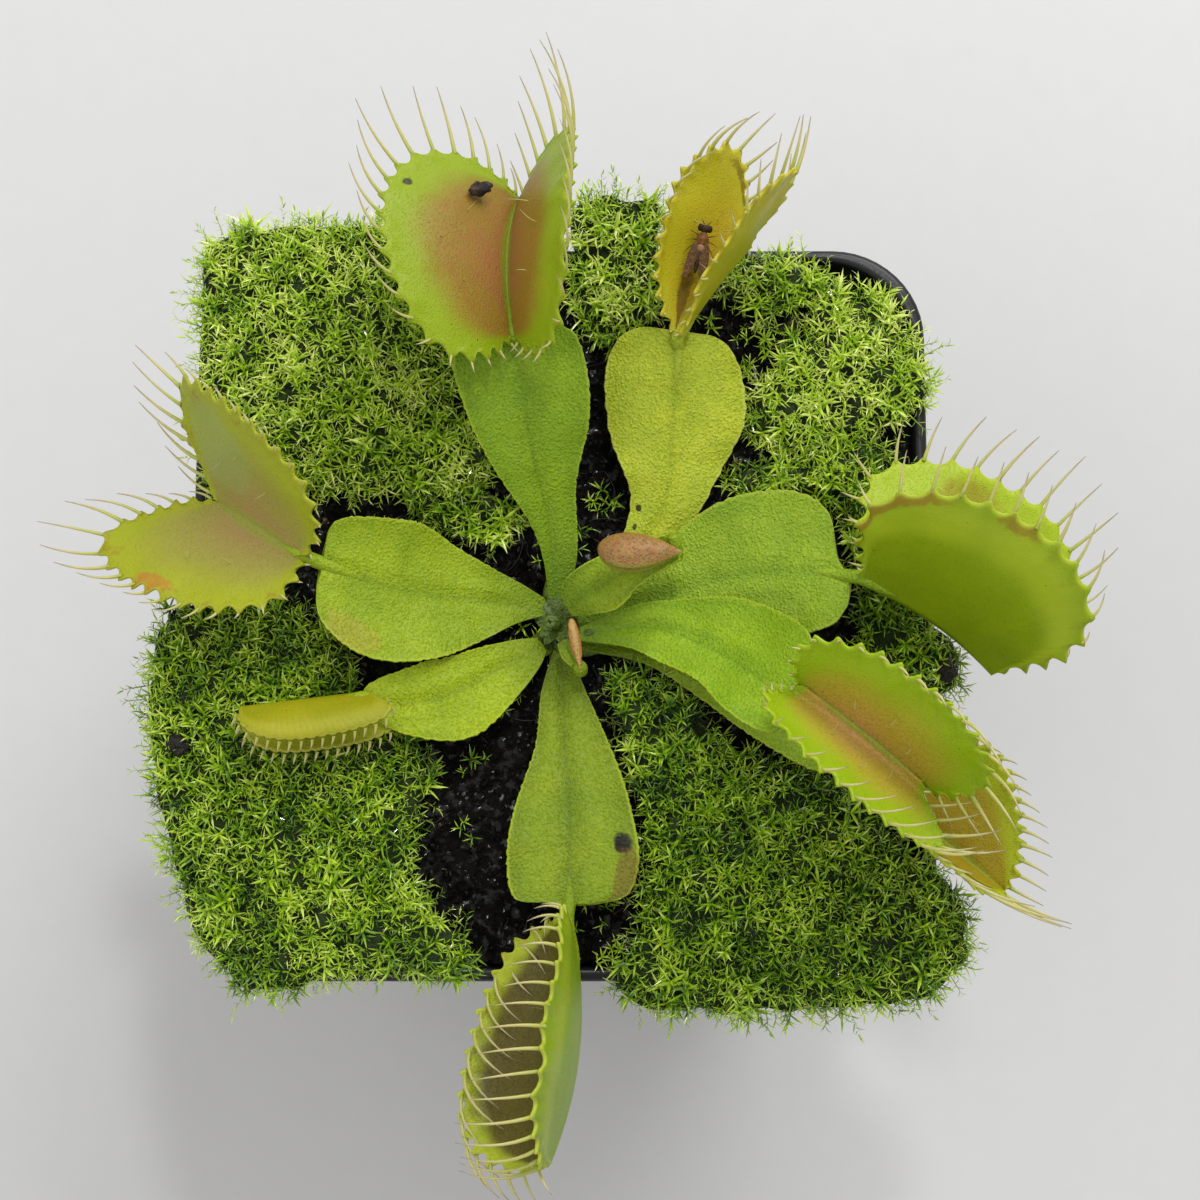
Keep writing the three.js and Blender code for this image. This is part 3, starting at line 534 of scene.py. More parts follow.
# `spine` is the top of the petiole's midrib, `left` and `right` its edges as [along, across]. A
# trap's lobes lean out by `open` and curve by `bend`, [left, right]. Teeth turn in by `toothTilt`.
leaves = {
    "north": {
        "spine": [[-0.6, 0.4, 75.3], [-1.4, 8.8, 78.4], [-3.2, 16.6, 82.6], [-4.5, 26.6, 86.6]],
        "lift": 1.2,
        "left": [
            [0.3, 0.7], [4.7, 0.9], [9.5, 2.1], [16.7, 4.6],
            [21.6, 6.1], [27.5, 6.8], [30.4, 3.6], [30, 0.4],
        ],
        "right": [
            [0, 1.1], [4.6, 2.6], [11.6, 3.5], [18.1, 6.1],
            [23.8, 6.9], [28.7, 6], [30, 3.1], [29.5, 0.8],
        ],
        "trap": {
            "hinge": [-4.7, 26.7, 87], "heading": 89, "pitch": -14, "roll": -29,
            "length": 16.5, "width": 14.9, "open": [20, 43], "bend": [20, 22],
            "back": 1.74, "front": 0.78, "arch": -1.5, "sweep": 0.16, "power": 0.97,
            "teeth": 22, "toothLength": [8.2, 10], "toothTilt": [10, 30],
            "toothAim": [(-0.34, 0.9, 0.25), (-0.24, 0.95, 0.3)],
        },
    },
    "northeast": {
        "spine": [
            [1, -1, 75.2], [7.6, 4.8, 76.6], [11.2, 11, 78.2], [12, 19.3, 80.2], [12.7, 27.5, 82.6],
        ],
        "lift": -0.6,
        "left": [
            [0, 0.9], [6.9, 1.6], [16.2, 3.9], [23.4, 6.7],
            [29.5, 7.6], [33.4, 6.2], [34.6, 3], [33, 0.6],
        ],
        "right": [
            [0, 0.9], [9.3, 2.1], [17.1, 4.2], [24.3, 7.5],
            [29.7, 7.1], [33.3, 5.1], [34.3, 2.3], [33, 0.9],
        ],
        "trap": {
            "hinge": [12.4, 27.6, 83], "heading": 55, "pitch": -8, "roll": -38,
            "length": 13.8, "width": 11.7, "open": [22, 42], "bend": [-28, -9],
            "back": 0.43, "front": 0.52, "arch": -0.45, "sweep": 0.62, "power": 0.75,
            "teeth": 19, "toothLength": [5.6, 6.6], "toothTilt": [50, 20],
            "toothAim": [(0.72, 0.66, 0.25), (0.24, 0.93, 0.3)],
        },
    },
    "east": {
        "spine": [
            [1.6, -1.8, 76.4], [9.6, 0.3, 78], [18, 2.6, 79.8], [25.2, 2.7, 82.2], [29.8, 1.8, 84.2],
        ],
        "lift": 0.8,
        "left": [
            [0.2, 0.6], [7.6, 2.9], [13.5, 6], [19.2, 8.1],
            [24.2, 8.2], [27, 6.2], [28.4, 2], [29.5, 0.8],
        ],
        "right": [
            [0.1, 0.9], [4.8, 2.9], [11.4, 6.8], [20.7, 8.2], [28.4, 6.4], [30.7, 3.6], [30.5, 0.8],
        ],
        "trap": {
            "hinge": [31.4, 1.4, 85], "heading": -33, "pitch": -10, "roll": -67,
            "length": 17.1, "width": 16.4, "open": [23, 44], "bend": [14, -31],
            "back": 2, "front": 0.7, "arch": -1, "sweep": 0.2, "power": 0.77,
            "teeth": 20, "toothLength": [7.2, 5], "toothTilt": [8, 20], "scallop": 0.12,
            "toothAim": [(0.74, 0.62, 0.3), (0.28, 0.9, 0.4)],
            "toothGrowth": [
                [(0, 0.2), (0.12, 0.35), (0.3, 0.75), (0.5, 1), (0.7, 0.9), (0.82, 0.5), (1, 0.2)],
                [(0, 0.1), (0.12, 0.3), (0.28, 0.9), (0.5, 1), (0.68, 0.85), (0.76, 0.3), (1, 0.12)],
            ],
        },
    },
    "southeast": {
        "spine": [
            [1.6, -3.5, 78.2], [9.5, -3.1, 80.3], [16.2, -5.9, 83],
            [21.1, -9.6, 87], [24.1, -11.3, 89.3],
        ],
        "lift": 1.8,
        "left": [
            [0.6, 0.7], [4.2, 1.6], [9.6, 3.2], [15, 5.5],
            [19.5, 6.5], [25.9, 6.2], [27.1, 3], [26.8, 1],
        ],
        "right": [
            [0.2, 0.7], [4.5, 1.8], [9.9, 3.3], [16.1, 3.7],
            [22, 4.8], [27, 4.6], [27.9, 1.9], [27.3, 0.8],
        ],
        "trap": {
            "hinge": [24.3, -11.3, 89.6], "heading": -38, "pitch": -10, "roll": -18,
            "length": 14.6, "width": 11.9, "open": [6, 40], "bend": [18, 16],
            "back": 1.48, "front": 1.52, "arch": -0.5, "sweep": 0.08, "power": 0.92, "ribRise": 2.2,
            "teeth": 21, "toothLength": [6, 6.2], "toothTilt": [30, 40],
            "toothAim": [(0.5, -0.8, 0.2), (0.97, 0.02, 0.2)],
            "toothGrowth": [
                [(0, 0.1), (0.15, 0.16), (0.35, 0.22), (0.5, 0.4), (0.62, 0.9), (0.85, 1), (1, 0.6)],
                [(0, 0.1), (0.15, 0.18), (0.3, 0.28), (0.45, 0.5), (0.6, 0.95), (0.85, 1), (1, 0.7)],
            ],
        },
    },
    "southeast_low": {
        "spine": [
            [1.3, -4, 75.1], [9.6, -4.9, 76.4], [16.9, -8.4, 77.8],
            [24.2, -13.7, 79.6], [30.3, -18, 80.5],
        ],
        "lift": 0.8,
        "left": [[0.3, 0.6], [7.6, 1.7], [16, 2.9], [24.7, 3.1], [29.6, 1.9], [32.5, 0.6]],
        "right": [[0.1, 0.6], [7.9, 1.6], [16.1, 2.7], [21.9, 3], [29.2, 2.5], [33.1, 1]],
        "trap": {
            "hinge": [30.3, -18, 80.5], "heading": -39, "pitch": -3, "roll": -21,
            "length": 20.2, "width": 10.5, "open": [47, 43], "bend": [-2, -13],
            "back": 0.4, "front": -0.52, "arch": 0, "sweep": 0, "power": 0.63,
            "teeth": 22, "toothLength": [3, 8.4], "toothTilt": [20, 20],
            "toothAim": [(0.8, -0.5, 0.2), (0.88, -0.42, 0.1)],
            "toothGrowth": [
                [(0, 0.3), (0.4, 0.5), (0.7, 0.8), (1, 1.4)],
                [(0, 0.1), (0.5, 0.16), (0.68, 0.45), (0.8, 0.8), (1, 1)],
            ],
        },
    },
    "south": {
        "spine": [[0, -4.4, 75.4], [0.4, -14.7, 77.3], [1, -23.3, 79], [1, -32.2, 80.1]],
        "lift": 0.4,
        "left": [
            [0.4, 0.8], [5.8, 2.7], [12.2, 5], [18.6, 6.5],
            [23.3, 7.2], [27, 6.1], [28, 3], [28.1, 0.9],
        ],
        "right": [
            [0.4, 0.8], [5.1, 2.2], [11.1, 3.1], [17.7, 5.7],
            [23.3, 6.5], [27.4, 5.7], [27.9, 2.5], [28.1, 1],
        ],
        "trap": {
            "hinge": [0.8, -33.9, 81], "heading": -95, "pitch": 13, "roll": 50,
            "length": 24.2, "width": 12.6, "open": [53, 104], "bend": [-31, -77],
            "back": 0.45, "front": 0.06, "arch": 2.4, "sweep": 0.26, "power": 1.09,
            "teeth": 19, "toothLength": [8.2, 7.8], "toothTilt": [60, 80], "scallop": 0.11,
            "toothAim": [(-0.98, -0.04, 0.18), (0.52, -0.8, 0.3)], "aimRange": (-0.1, 0.25),
            "aimShare": 0.95,
            "toothGrowth": [
                [(0, 0.2), (0.12, 0.35), (0.3, 0.55), (0.5, 0.8), (0.7, 1), (0.9, 1), (1, 0.7)],
                [(0, 0.3), (0.15, 0.5), (0.35, 0.9), (0.6, 1), (0.8, 0.62), (1, 0.4)],
            ],
        },
    },
    "southwest": {
        "spine": [[-1.9, -4.3, 76.6], [-6.4, -7.1, 77.8], [-12.7, -10.5, 79.4], [-19.1, -11.5, 80.4]],
        "lift": 1.6,
        "left": [[0, 0.8], [2, 2.1], [7.3, 4.2], [11.4, 5.1], [15.2, 3.8], [18.5, 2.3], [20, 0.9]],
        "right": [[0.1, 0.8], [3.5, 2.2], [10.3, 3.7], [14.1, 4], [19.6, 2.6], [21.2, 0.8]],
        "trap": {
            "hinge": [-20.2, -10.7, 81], "heading": 187, "pitch": 0, "roll": -69,
            "length": 13.1, "width": 5, "open": [67, 60], "bend": [-74, -85],
            "back": 1.16, "front": 0.2, "arch": 0, "sweep": 0, "power": 0.84,
            "teeth": 21, "toothLength": [1.3, 1.3], "toothTilt": [10, 10], "flare": 0.2,
            "toothRadius": 0.2, "waveHeight": 0.05, "rimCurl": 0.05, "scallop": 0.03,
            "toothAim": [(-0.3, -0.8, -0.5), (-0.3, -0.8, -0.5)], "aimRange": (-0.2, 0.1),
            "toothGrowth": [
                [(0, 0.7), (0.2, 1), (0.8, 1), (1, 0.8)],
                [(0, 0.7), (0.2, 1), (0.8, 1), (1, 0.8)],
            ],
        },
    },
    "west": {
        "spine": [[-1.5, -0.3, 75.3], [-8.6, 0.2, 77.8], [-16.9, 0.8, 81], [-23.8, 2.8, 83.8]],
        "lift": 1.4,
        "left": [
            [0.2, 0.8], [3.3, 2], [8.1, 4.9], [13, 7], [18.7, 7.8], [23.6, 5.7], [25, 2.6], [24.9, 1.2],
        ],
        "right": [
            [0.3, 1], [3.4, 2.4], [8.1, 4.1], [14.1, 6.8],
            [18.9, 7], [24.3, 5.3], [25.7, 3.3], [24.5, 0.9],
        ],
        "trap": {
            "hinge": [-26.7, 3.8, 84.5], "heading": 145, "pitch": -21, "roll": -22,
            "length": 12.4, "width": 12.8, "open": [51, 62], "bend": [1, -4],
            "back": 2.37, "front": 0.8, "arch": -0.33, "sweep": 0.76, "power": 1.06,
            "teeth": 21, "toothLength": [7.4, 7.2], "toothTilt": [12, 20],
            "toothAim": [(-0.97, 0.14, 0.1), (-0.66, 0.72, 0.2)],
            "toothGrowth": [
                [(0, 0.12), (0.2, 0.2), (0.42, 0.4), (0.55, 0.95), (0.75, 1), (0.88, 0.6), (1, 0.3)],
                [(0, 0.12), (0.3, 0.16), (0.55, 0.3), (0.68, 0.9), (0.85, 1), (1, 0.6)],
            ],
        },
    },
    "young": {
        "spine": [[0.7, -1, 79.2], [3.1, 0.6, 81], [7.5, 2.7, 83.4], [12.1, 4.7, 86]],
        "lift": 1.4,
        "left": [[0, 0.7], [1.6, 2.4], [6, 2.7], [12, 1.7], [14.8, 1.3]],
        "right": [[0, 0.9], [2.4, 2.2], [5.7, 3], [9.2, 1.9], [14.3, 1.5]],
        "pod": {
            "hinge": [12.8, 5.6, 86.2], "heading": 178, "pitch": 0, "roll": -75,
            "length": 8.8, "width": 4.9, "thickness": 3.4, "seam": 0.4,
        },
    },
    "bud": {
        "spine": [[0.2, -4.4, 79.1], [1.3, -6.2, 79.3], [2.2, -7.6, 79.8]],
        "lift": 0.6,
        "left": [[0, 0.6], [1.5, 0.9], [2.8, 0.5]],
        "right": [[0, 0.6], [1.5, 0.9], [2.8, 0.5]],
        "pod": {
            "hinge": [2.2, -7.7, 80.2], "heading": 101, "pitch": 6, "roll": 0,
            "length": 5.6, "width": 1.5, "thickness": 1.35, "seam": 0.0,
        },
    },
}

# colours of each leaf: the petiole's blade and its edge, and the trap inside, near the rim and out, and
# the strength of a painted sheen outside
leafTones = {
    "north": {
        "blade": tone(0.168, 0.285, 0.006), "edge": tone(0.28, 0.40, 0.02),
        "core": tone(0.35, 0.105, 0.05), "blush": tone(0.29, 0.14, 0.02), "blushReach": (0.56, 0.9),
        "margin": tone(0.25, 0.345, 0.002), "outer": tone(0.20, 0.33, 0.008), "stain": 0.1,
    },
    "northeast": {
        "blade": tone(0.36, 0.44, 0.02), "edge": tone(0.46, 0.50, 0.07),
        "core": tone(0.40, 0.28, 0.01), "blush": tone(0.45, 0.35, 0.012), "blushReach": (0.3, 0.95),
        "margin": tone(0.47, 0.43, 0.012), "outer": tone(0.42, 0.41, 0.01), "stain": 0.5,
    },
    "east": {
        "blade": tone(0.22, 0.35, 0.015), "edge": tone(0.34, 0.44, 0.04),
        "core": tone(0.22, 0.27, 0.006), "blush": tone(0.21, 0.30, 0.006), "blushReach": (0.1, 0.6),
        "margin": tone(0.34, 0.45, 0.008), "outer": tone(0.215, 0.31, 0.001), "stain": 0.3, "paintedSheen": 1.0,
    },
    "southeast": {
        "blade": tone(0.205, 0.35, 0.008), "edge": tone(0.34, 0.44, 0.02),
        # this trap's heart and blush are its own pink, painted lighter as painted light in the deep fold
        # between its lobes
        "core": tone(0.66, 0.34, 0.13), "blush": tone(0.52, 0.36, 0.05), "blushReach": (0.42, 0.95),
        "margin": tone(0.27, 0.40, 0.002), "outer": tone(0.22, 0.34, 0.006), "stain": 0.15,
    },
    "southeast_low": {
        "blade": tone(0.21, 0.33, 0.012), "edge": tone(0.34, 0.40, 0.03),
        "core": tone(0.33, 0.19, 0.006), "blush": tone(0.33, 0.23, 0.008), "blushReach": (0.6, 0.98),
        "margin": tone(0.34, 0.40, 0.006), "outer": tone(0.26, 0.27, 0.008), "stain": 0.5,
    },
    "south": {
        "blade": tone(0.155, 0.23, 0.003), "edge": tone(0.33, 0.42, 0.02),
        "core": tone(0.05, 0.03, 0.003), "blush": tone(0.08, 0.055, 0.004), "blushReach": (0.84, 1.02),
        "margin": tone(0.38, 0.45, 0.015), "outer": tone(0.18, 0.28, 0.003), "stain": 0.35, "grain": 0.12,
    },
    "southwest": {
        "blade": tone(0.25, 0.35, 0.003), "edge": tone(0.38, 0.46, 0.02),
        "core": tone(0.28, 0.25, 0.008), "blush": tone(0.28, 0.27, 0.008), "blushReach": (0.3, 0.9),
        "margin": tone(0.36, 0.38, 0.015), "outer": tone(0.27, 0.275, 0.003), "stain": 0.2,
    },
    "west": {
        "blade": tone(0.225, 0.33, 0.006), "edge": tone(0.36, 0.45, 0.03),
        "core": tone(0.36, 0.22, 0.09), "blush": tone(0.30, 0.27, 0.055), "blushReach": (0.42, 0.95),
        "margin": tone(0.31, 0.345, 0.006), "outer": tone(0.23, 0.34, 0.008), "stain": 0.45,
    },
    "young": {
        "blade": tone(0.185, 0.28, 0.002), "edge": tone(0.40, 0.50, 0.04),
    },
    "bud": {
        "blade": tone(0.17, 0.26, 0.003), "edge": tone(0.36, 0.44, 0.04),
    },
}

# marks on a petiole and on a trap's skin: where, how large, how strong and which colour. The trap's
# come with the lobe they are on, 1 for the left one and -1 for the right one.
bladeMarks = {
    "northeast": [
        ((0.43, 0.72), (0.014, 0.1), 0.95, tone(0.012, 0.009, 0.004)),
        ((0.36, 0.66), (0.012, 0.09), 0.9, tone(0.02, 0.015, 0.006)),
    ],
    "south": [
        ((0.77, 0.78), (0.04, 0.14), 0.98, tone(0.006, 0.004, 0.002)),
        ((0.89, 0.86), (0.11, 0.19), 0.6, tone(0.15, 0.08, 0.012)),
    ],
    "west": [((0.84, 0.8), (0.13, 0.24), 0.3, tone(0.42, 0.24, 0.05))],
    "east": [((0.72, -0.55), (0.16, 0.3), 0.3, tone(0.12, 0.22, 0.006))],
}
trapMarks = {
    "north": [(1, (0.63, 0.9), (0.012, 0.035), 0.9, tone(0.03, 0.02, 0.006))],
    "northeast": [
        (1, (0.20, 0.30), (0.2, 0.13), 0.75, tone(0.10, 0.045, 0.008)),
        (1, (0.80, 0.9), (0.12, 0.06), 0.6, tone(0.14, 0.07, 0.01)),
    ],
    "east": [
        (-1, (0.24, 0.96), (0.13, 0.05), 0.6, tone(0.27, 0.11, 0.012)),
        (1, (0.44, 0.74), (0.09, 0.2), 0.55, tone(0.28, 0.16, 0.015)),
        (-1, (0.5, 0.96), (0.05, 0.04), 0.5, tone(0.26, 0.11, 0.012)),
    ],
    "west": [
        (1, (0.47, 0.93), (0.06, 0.08), 0.6, tone(0.46, 0.13, 0.02)),
        (-1, (0.62, 0.55), (0.2, 0.35), 0.4, tone(0.25, 0.36, 0.08)),
    ],
    "southeast_low": [(-1, (0.72, 0.7), (0.2, 0.05), 0.85, tone(0.05, 0.03, 0.008))],
}

bladeShape = {
    "rows": 150, "halfColumns": 14, "curlWidth": 7, "ribThickness": 1.25, "edgeThickness": 0.32,
    "ribWidth": 1.6, "grooveDepth": 0.26, "grooveWidth": 0.5, "shoulder": 0.16,
    "waveHeight": 0.2, "waveLength": 8, "serration": 0.06, "serrationLength": 0.6,
}


# how strongly a soft-edged uneven spot shows at a place of two shares
def spotAt(first, second, centre, size, uneven):
    far = ((first - centre[0]) / size[0]) ** 2 + ((second - centre[1]) / size[1]) ** 2
    return (far + (uneven - 0.5) * 1.6).step(1.25, 0.45)


def petioleFinish(name, tones):
    tree = newFinish(f"{name}_blade")
    blade, edge = tones["blade"], tones["edge"]
    along, across, top = tree.axes(tree.read("leafPlace", "Vector"))
    side = across.size()
    fine = tree.grain(0.28, 3, 0.5)
    specks = tree.cells(2.6).step(0.06, 0.035) * tree.grain(9, 1).step(0.55, 0.6)
    colour = tree.paint(
        blade,
        (tree.grain(5, 3).step(0.3, 0.72), scaled(blade, 1.44, 1.3, 1.4)),
        (fine.step(0.58, 0.42) * 0.46, scaled(blade, 0.5, 0.62, 0.3)),
        ((side - 0.5).size().step(0.5, 0.05) * 0.3, scaled(edge, 0.9, 1.0, 0.6)),
        ((1 - side.step(0.0, 0.1)) * 0.3, scaled(blade, 0.55, 0.66, 0.6)),
        (side.step(0.945, 0.995) * 0.85, edge),
        (along.step(0.42, 0.0) * 0.7, scaled(blade, 0.48, 0.54, 0.3)),
        ((1 - top.step(0.2, 0.8)) * 0.45, scaled(edge, 0.8, 0.85, 1.1)),
        (specks * 0.75, tone(0.06, 0.03, 0.01)),
    )
    for centre, size, strength, shade in bladeMarks.get(name, []):
        mark = spotAt(along, across, centre, size, tree.grain(0.9, 3))
        colour = tree.mix(mark * strength, colour, shade)
    beads = tree.cells(0.36).step(0.6, 0.0)
    normal = tree.bump(tree.grain(1.7, 2), 0.06, tree.bump(beads * 0.6 + fine, 0.15))
    roughness = 0.3 + fine * 0.14 - tree.grain(0.5, 2).step(0.56, 0.7) * 0.14
    return surface(tree, colour, roughness, normal, 0.24, inside=(0.12, (0.9, 1.2, 0.1), 0.0012))


def trapFinish(name, tones):
    tree = newFinish(f"{name}_trap_skin")
    core, margin, outer = tones["core"], tones["margin"], tones["outer"]
    along, height, inner = tree.axes(tree.read("trapPlace", "Vector"))
    low, high = tones["blushReach"]
    fine = tree.grain(0.3, 3, 0.6)
    broad = tree.grain(4.5, 3)
    glands = tree.cells(0.24)

    # inside: a warm heart that pales to the margin, with fine grain, glands and a pale midrib that is
    # partly painted highlight
    edge = height + (broad - 0.5) * 0.2 + (along - 0.5).size() * 0.3
    heart = (height * 1.3 + (along - 0.45).size() * 0.9 + (broad - 0.5) * 0.5).step(0.75, 0.1)
    warm = tree.paint(
        tones["blush"],
        (heart, core),
        (fine.step(0.4, 0.68) * tones.get("grain", 0.55), scaled(margin, 0.85, 0.7, 2.0)),
        (glands.step(0.35, 0.1) * 0.25, scaled(core, 0.6, 0.6, 0.6)),
    )
    # the pale midrib: partly its own colour, partly a painted highlight along its ridge
    rib = height.step(0.13, 0.04) * 0.75 * (0.5 + fine)
    blushed = edge.step(high, low) * 0.96
    inside = tree.paint(margin, (blushed, warm), (rib, scaled(margin, 0.85, 0.9, 5)))

    # outside: a painted sheen, a lighter band under the rim
    paintedSheen = (height - 0.8).size().step(0.2, 0.03) * (broad * 0.6 + 0.35)
    outside = tree.paint(
        outer,
        (broad.step(0.3, 0.75), scaled(outer, 1.2, 1.12, 1.6)),
        (fine.step(0.5, 0.75) * 0.35, scaled(outer, 0.6, 0.6, 0.6)),
        (paintedSheen * tones.get("paintedSheen", 0.5), scaled(margin, 1.1, 1.05, 2.0)),
    )
    colour = tree.mix(inner.step(0.35, 0.65), outside, inside)
    side = tree.read("trapSide")
    uneven = tree.grain(0.8, 4, 0.65)
    for lobe, centre, size, strength, shade in trapMarks.get(name, []):
        mark = spotAt(along, height, centre, size, uneven) * (side * lobe).step(0.0, 0.1)
        colour = tree.mix(mark * strength, colour, shade)
    least = lerp(0.62, 0.47, tones["stain"])
    stains = tree.grain(2.2, 4, 0.65).step(least, least + 0.16) * height.step(0.72, 0.93)
    specks = tree.cells(1.5).step(0.07, 0.04) * tree.grain(3, 1).step(0.5, 0.56)
    colour = tree.paint(
        colour,
        (stains * tones["stain"], tone(0.27, 0.10, 0.012)),
        (specks * 0.8, tone(0.05, 0.03, 0.01)),
        (height.step(0.97, 1.0) * 0.7, scaled(margin, 1.2, 1.12, 3.5)),
    )
    beads = glands.step(0.5, 0.08) * (0.35 + inner.step(0.4, 0.6) * 0.65)
    veins = (along * 210).wave() * (1 - inner) * height.step(0.05, 0.4)
    normal = tree.bump(veins, 0.008, tree.bump(beads * 0.9 + fine * 0.15, 0.05))
    roughness = 0.38 + fine * 0.18 - tree.grain(0.45, 2).step(0.6, 0.7) * 0.15
    skin = (0.16, (1.0, 1.1, 0.1), 0.0012)
    return surface(tree, colour, roughness, normal, 0.28, coat=(0.06, 0.3), inside=skin)


def toothFinish():
    tree = newFinish("tooth_horn")
    stops = [
        (0.0, tone(0.30, 0.37, 0.02)), (0.2, tone(0.44, 0.44, 0.10)), (0.6, tone(0.50, 0.44, 0.19)),
        (0.88, tone(0.32, 0.26, 0.15)), (1.0, tone(0.12, 0.095, 0.07)),
    ]
    base = tree.node("ShaderNodeValToRGB", {"stops": stops}, {"Fac": tree.read("tipness")})
    uneven = tree.grain(0.8, 3)
    colour = tree.mix(uneven.step(0.4, 0.7) * 0.4, base, tone(0.50, 0.46, 0.22))
    normal = tree.bump(tree.grain(0.3), 0.03)
    return surface(tree, colour, 0.32 + uneven * 0.2, normal, inside=(0.25, (1.0, 0.9, 0.4), 0.001))


# the blade's frame at places along its spine, which may pass the spine's ends
def spineFrame(spine, along):
    part = np.clip(along / spine.length, 0, 1)
    forward, side, normal = spine.frame(part)
    place = spine.at(part) + forward * (along - part * spine.length)[..., None]
    return place, side, normal


def addPetiole(shell, leaf, seed):
    b = bladeShape
    spine = Line(leaf["spine"])
    size = spine.length / 30
    rows = max(40, round(b["rows"] * size))
    u = np.linspace(0, 1, rows)
    left, right = Line(leaf["left"], "held").at(u), Line(leaf["right"], "held").at(u)
    half = np.sin(np.linspace(0, 1, b["halfColumns"] + 1) * math.pi / 2) ** 0.85
    c = np.concatenate([half[::-1], -half[1:]])
    edges = np.where(c[None, :, None] > 0, left[:, None], right[:, None])
    middle = (left[:, :1] + right[:, :1]) / 2
    along = lerp(middle, edges[..., 0], np.abs(c))
    dice = np.random.default_rng(seed)
    teeth = ripple(np.stack([along, np.sign(c) * 40 + 0 * along], -1), b["serrationLength"], seed, 5)
    reach = edges[..., 1] + b["serration"] * teeth * np.abs(c) ** 8 * smooth(along, 3, 8)
    across = c * reach
    place, side, normal = spineFrame(spine, along)
    fade = smooth(along, 1, 7)
    flat = np.stack([along, across], -1)
    phase = dice.uniform(0, 6.28, 2)
    swing = np.sin(along * 2 * math.pi / b["waveLength"] + np.where(c > 0, *phase))
    rise = leaf["lift"] * (across / b["curlWidth"]) ** 2
    rise = rise + b["waveHeight"] * swing * np.abs(c) ** 2.5 * fade
    rise = rise + 0.06 * ripple(flat, 4.5, seed + 1) * fade
    groove = b["shoulder"] * np.exp(-((np.abs(across) - 1.3) / 0.7) ** 2)
    groove = groove - b["grooveDepth"] * np.exp(-(across / b["grooveWidth"]) ** 2)
    top = rise + groove * fade
    rib = np.exp(-(across / b["ribWidth"]) ** 2)
    thick = b["edgeThickness"] + (b["ribThickness"] - b["edgeThickness"]) * rib
    upper = place + side * across[..., None] + normal * top[..., None]
    lower = place + side * across[..., None] + normal * (rise - thick)[..., None]
    rim = lerp(upper, lower, 0.5) + side * (np.sign(c) * 0.08)[None, :, None]
    rings = np.concatenate([upper, rim[:, -1:], lower[:, ::-1], rim[:, :1]], 1)
    share = (along / spine.length)[..., None]
    cross = np.broadcast_to(c[None, :, None], share.shape)

    def marks(value):
        return np.concatenate([share, cross, np.full_like(share, value)], 2)

    place = np.concatenate([marks(1), marks(0.5)[:, -1:], marks(0)[:, ::-1], marks(0.5)[:, :1]], 1)
    shell.loft(rings, 0, leafPlace=place)


def trapAxes(trap):
    turn = Matrix.Rotation(math.radians(trap["heading"]), 3, "Z")
    turn = turn @ Matrix.Rotation(-math.radians(trap["pitch"]), 3, "Y")
    turn = turn @ Matrix.Rotation(math.radians(trap["roll"]), 3, "X")
    return np.array(turn).T  # forward, left, up


# the rim of a flattened lobe, along the midrib and away from it
def rimPoint(trap, angle):
    cos, sin = np.cos(angle), np.maximum(np.sin(angle), 0)
    fill = np.where(cos > 0, trap["back"], trap["front"])
    b = trap["width"] * sin ** trap["power"]
    a = trap["length"] / 2 * (1 - cos * (1 + fill * sin)) + trap["sweep"] * b
    return a, b


def lobeFrame(trap, side, a, b):
    axes = trapAxes(trap)
    a, b = np.broadcast_arrays(np.asarray(a, float), np.asarray(b, float))
    lobe = 0 if side > 0 else 1
    opened = math.radians(trap["open"][lobe])
    curve = math.radians(trap["bend"][lobe]) / trap["width"] or 1e-6
    lean = opened + curve * b
    y = (math.cos(opened) - np.cos(lean)) / curve
    z = (np.sin(lean) - math.sin(opened)) / curve
    z = z + trap["arch"] * ((2 * a / trap["length"] - 1) ** 2 - 1)

    def mixed(forward, left, upward):
        return np.stack(np.broadcast_arrays(forward, side * left, upward), -1) @ axes

    place = np.array(trap["hinge"]) + mixed(a, y, z)
    return place, mixed(0 * a, np.sin(lean), np.cos(lean)), mixed(0 * a, -np.cos(lean), np.sin(lean))


lobeShape = {
    "rowsPerTooth": 10, "columns": 24, "ribThickness": 0.7, "rimThickness": 0.34,
    "ribRise": 0.5, "ribDrop": 0.85, "ribBlend": 1.1, "flare": 0.95, "flareWidth": 0.42,
    "scallop": 0.075, "waveHeight": 0.22, "rimCurl": 0.25, "toothRadius": 0.225,
    "toothGrowth": [
        [(0, 0.14), (0.2, 0.22), (0.4, 0.5), (0.58, 0.95), (0.75, 1), (0.9, 0.7), (1, 0.3)],
    ] * 2,
    "aimRange": (0.1, 0.5), "aimShare": 0.8,
    "hairs": [(0.36, 0.45), (0.5, 0.58), (0.64, 0.42)], "hairLength": 1.7, "hairRadius": 0.065,
}


def evenRim(trap, count):
    angle = np.linspace(0, math.pi, 1200)
    a, b = rimPoint(trap, angle)
    run = np.concatenate([[0], np.cumsum(np.hypot(np.diff(a), np.diff(b)))])
    where = np.linspace(0, run[-1], count)
    return np.interp(where, run, angle), where, run[-1]


def rimNormal(trap, angle):
    before, after = rimPoint(trap, angle - 0.02), rimPoint(trap, angle + 0.02)
    return unit(np.stack([before[1] - after[1], after[0] - before[0]], -1))


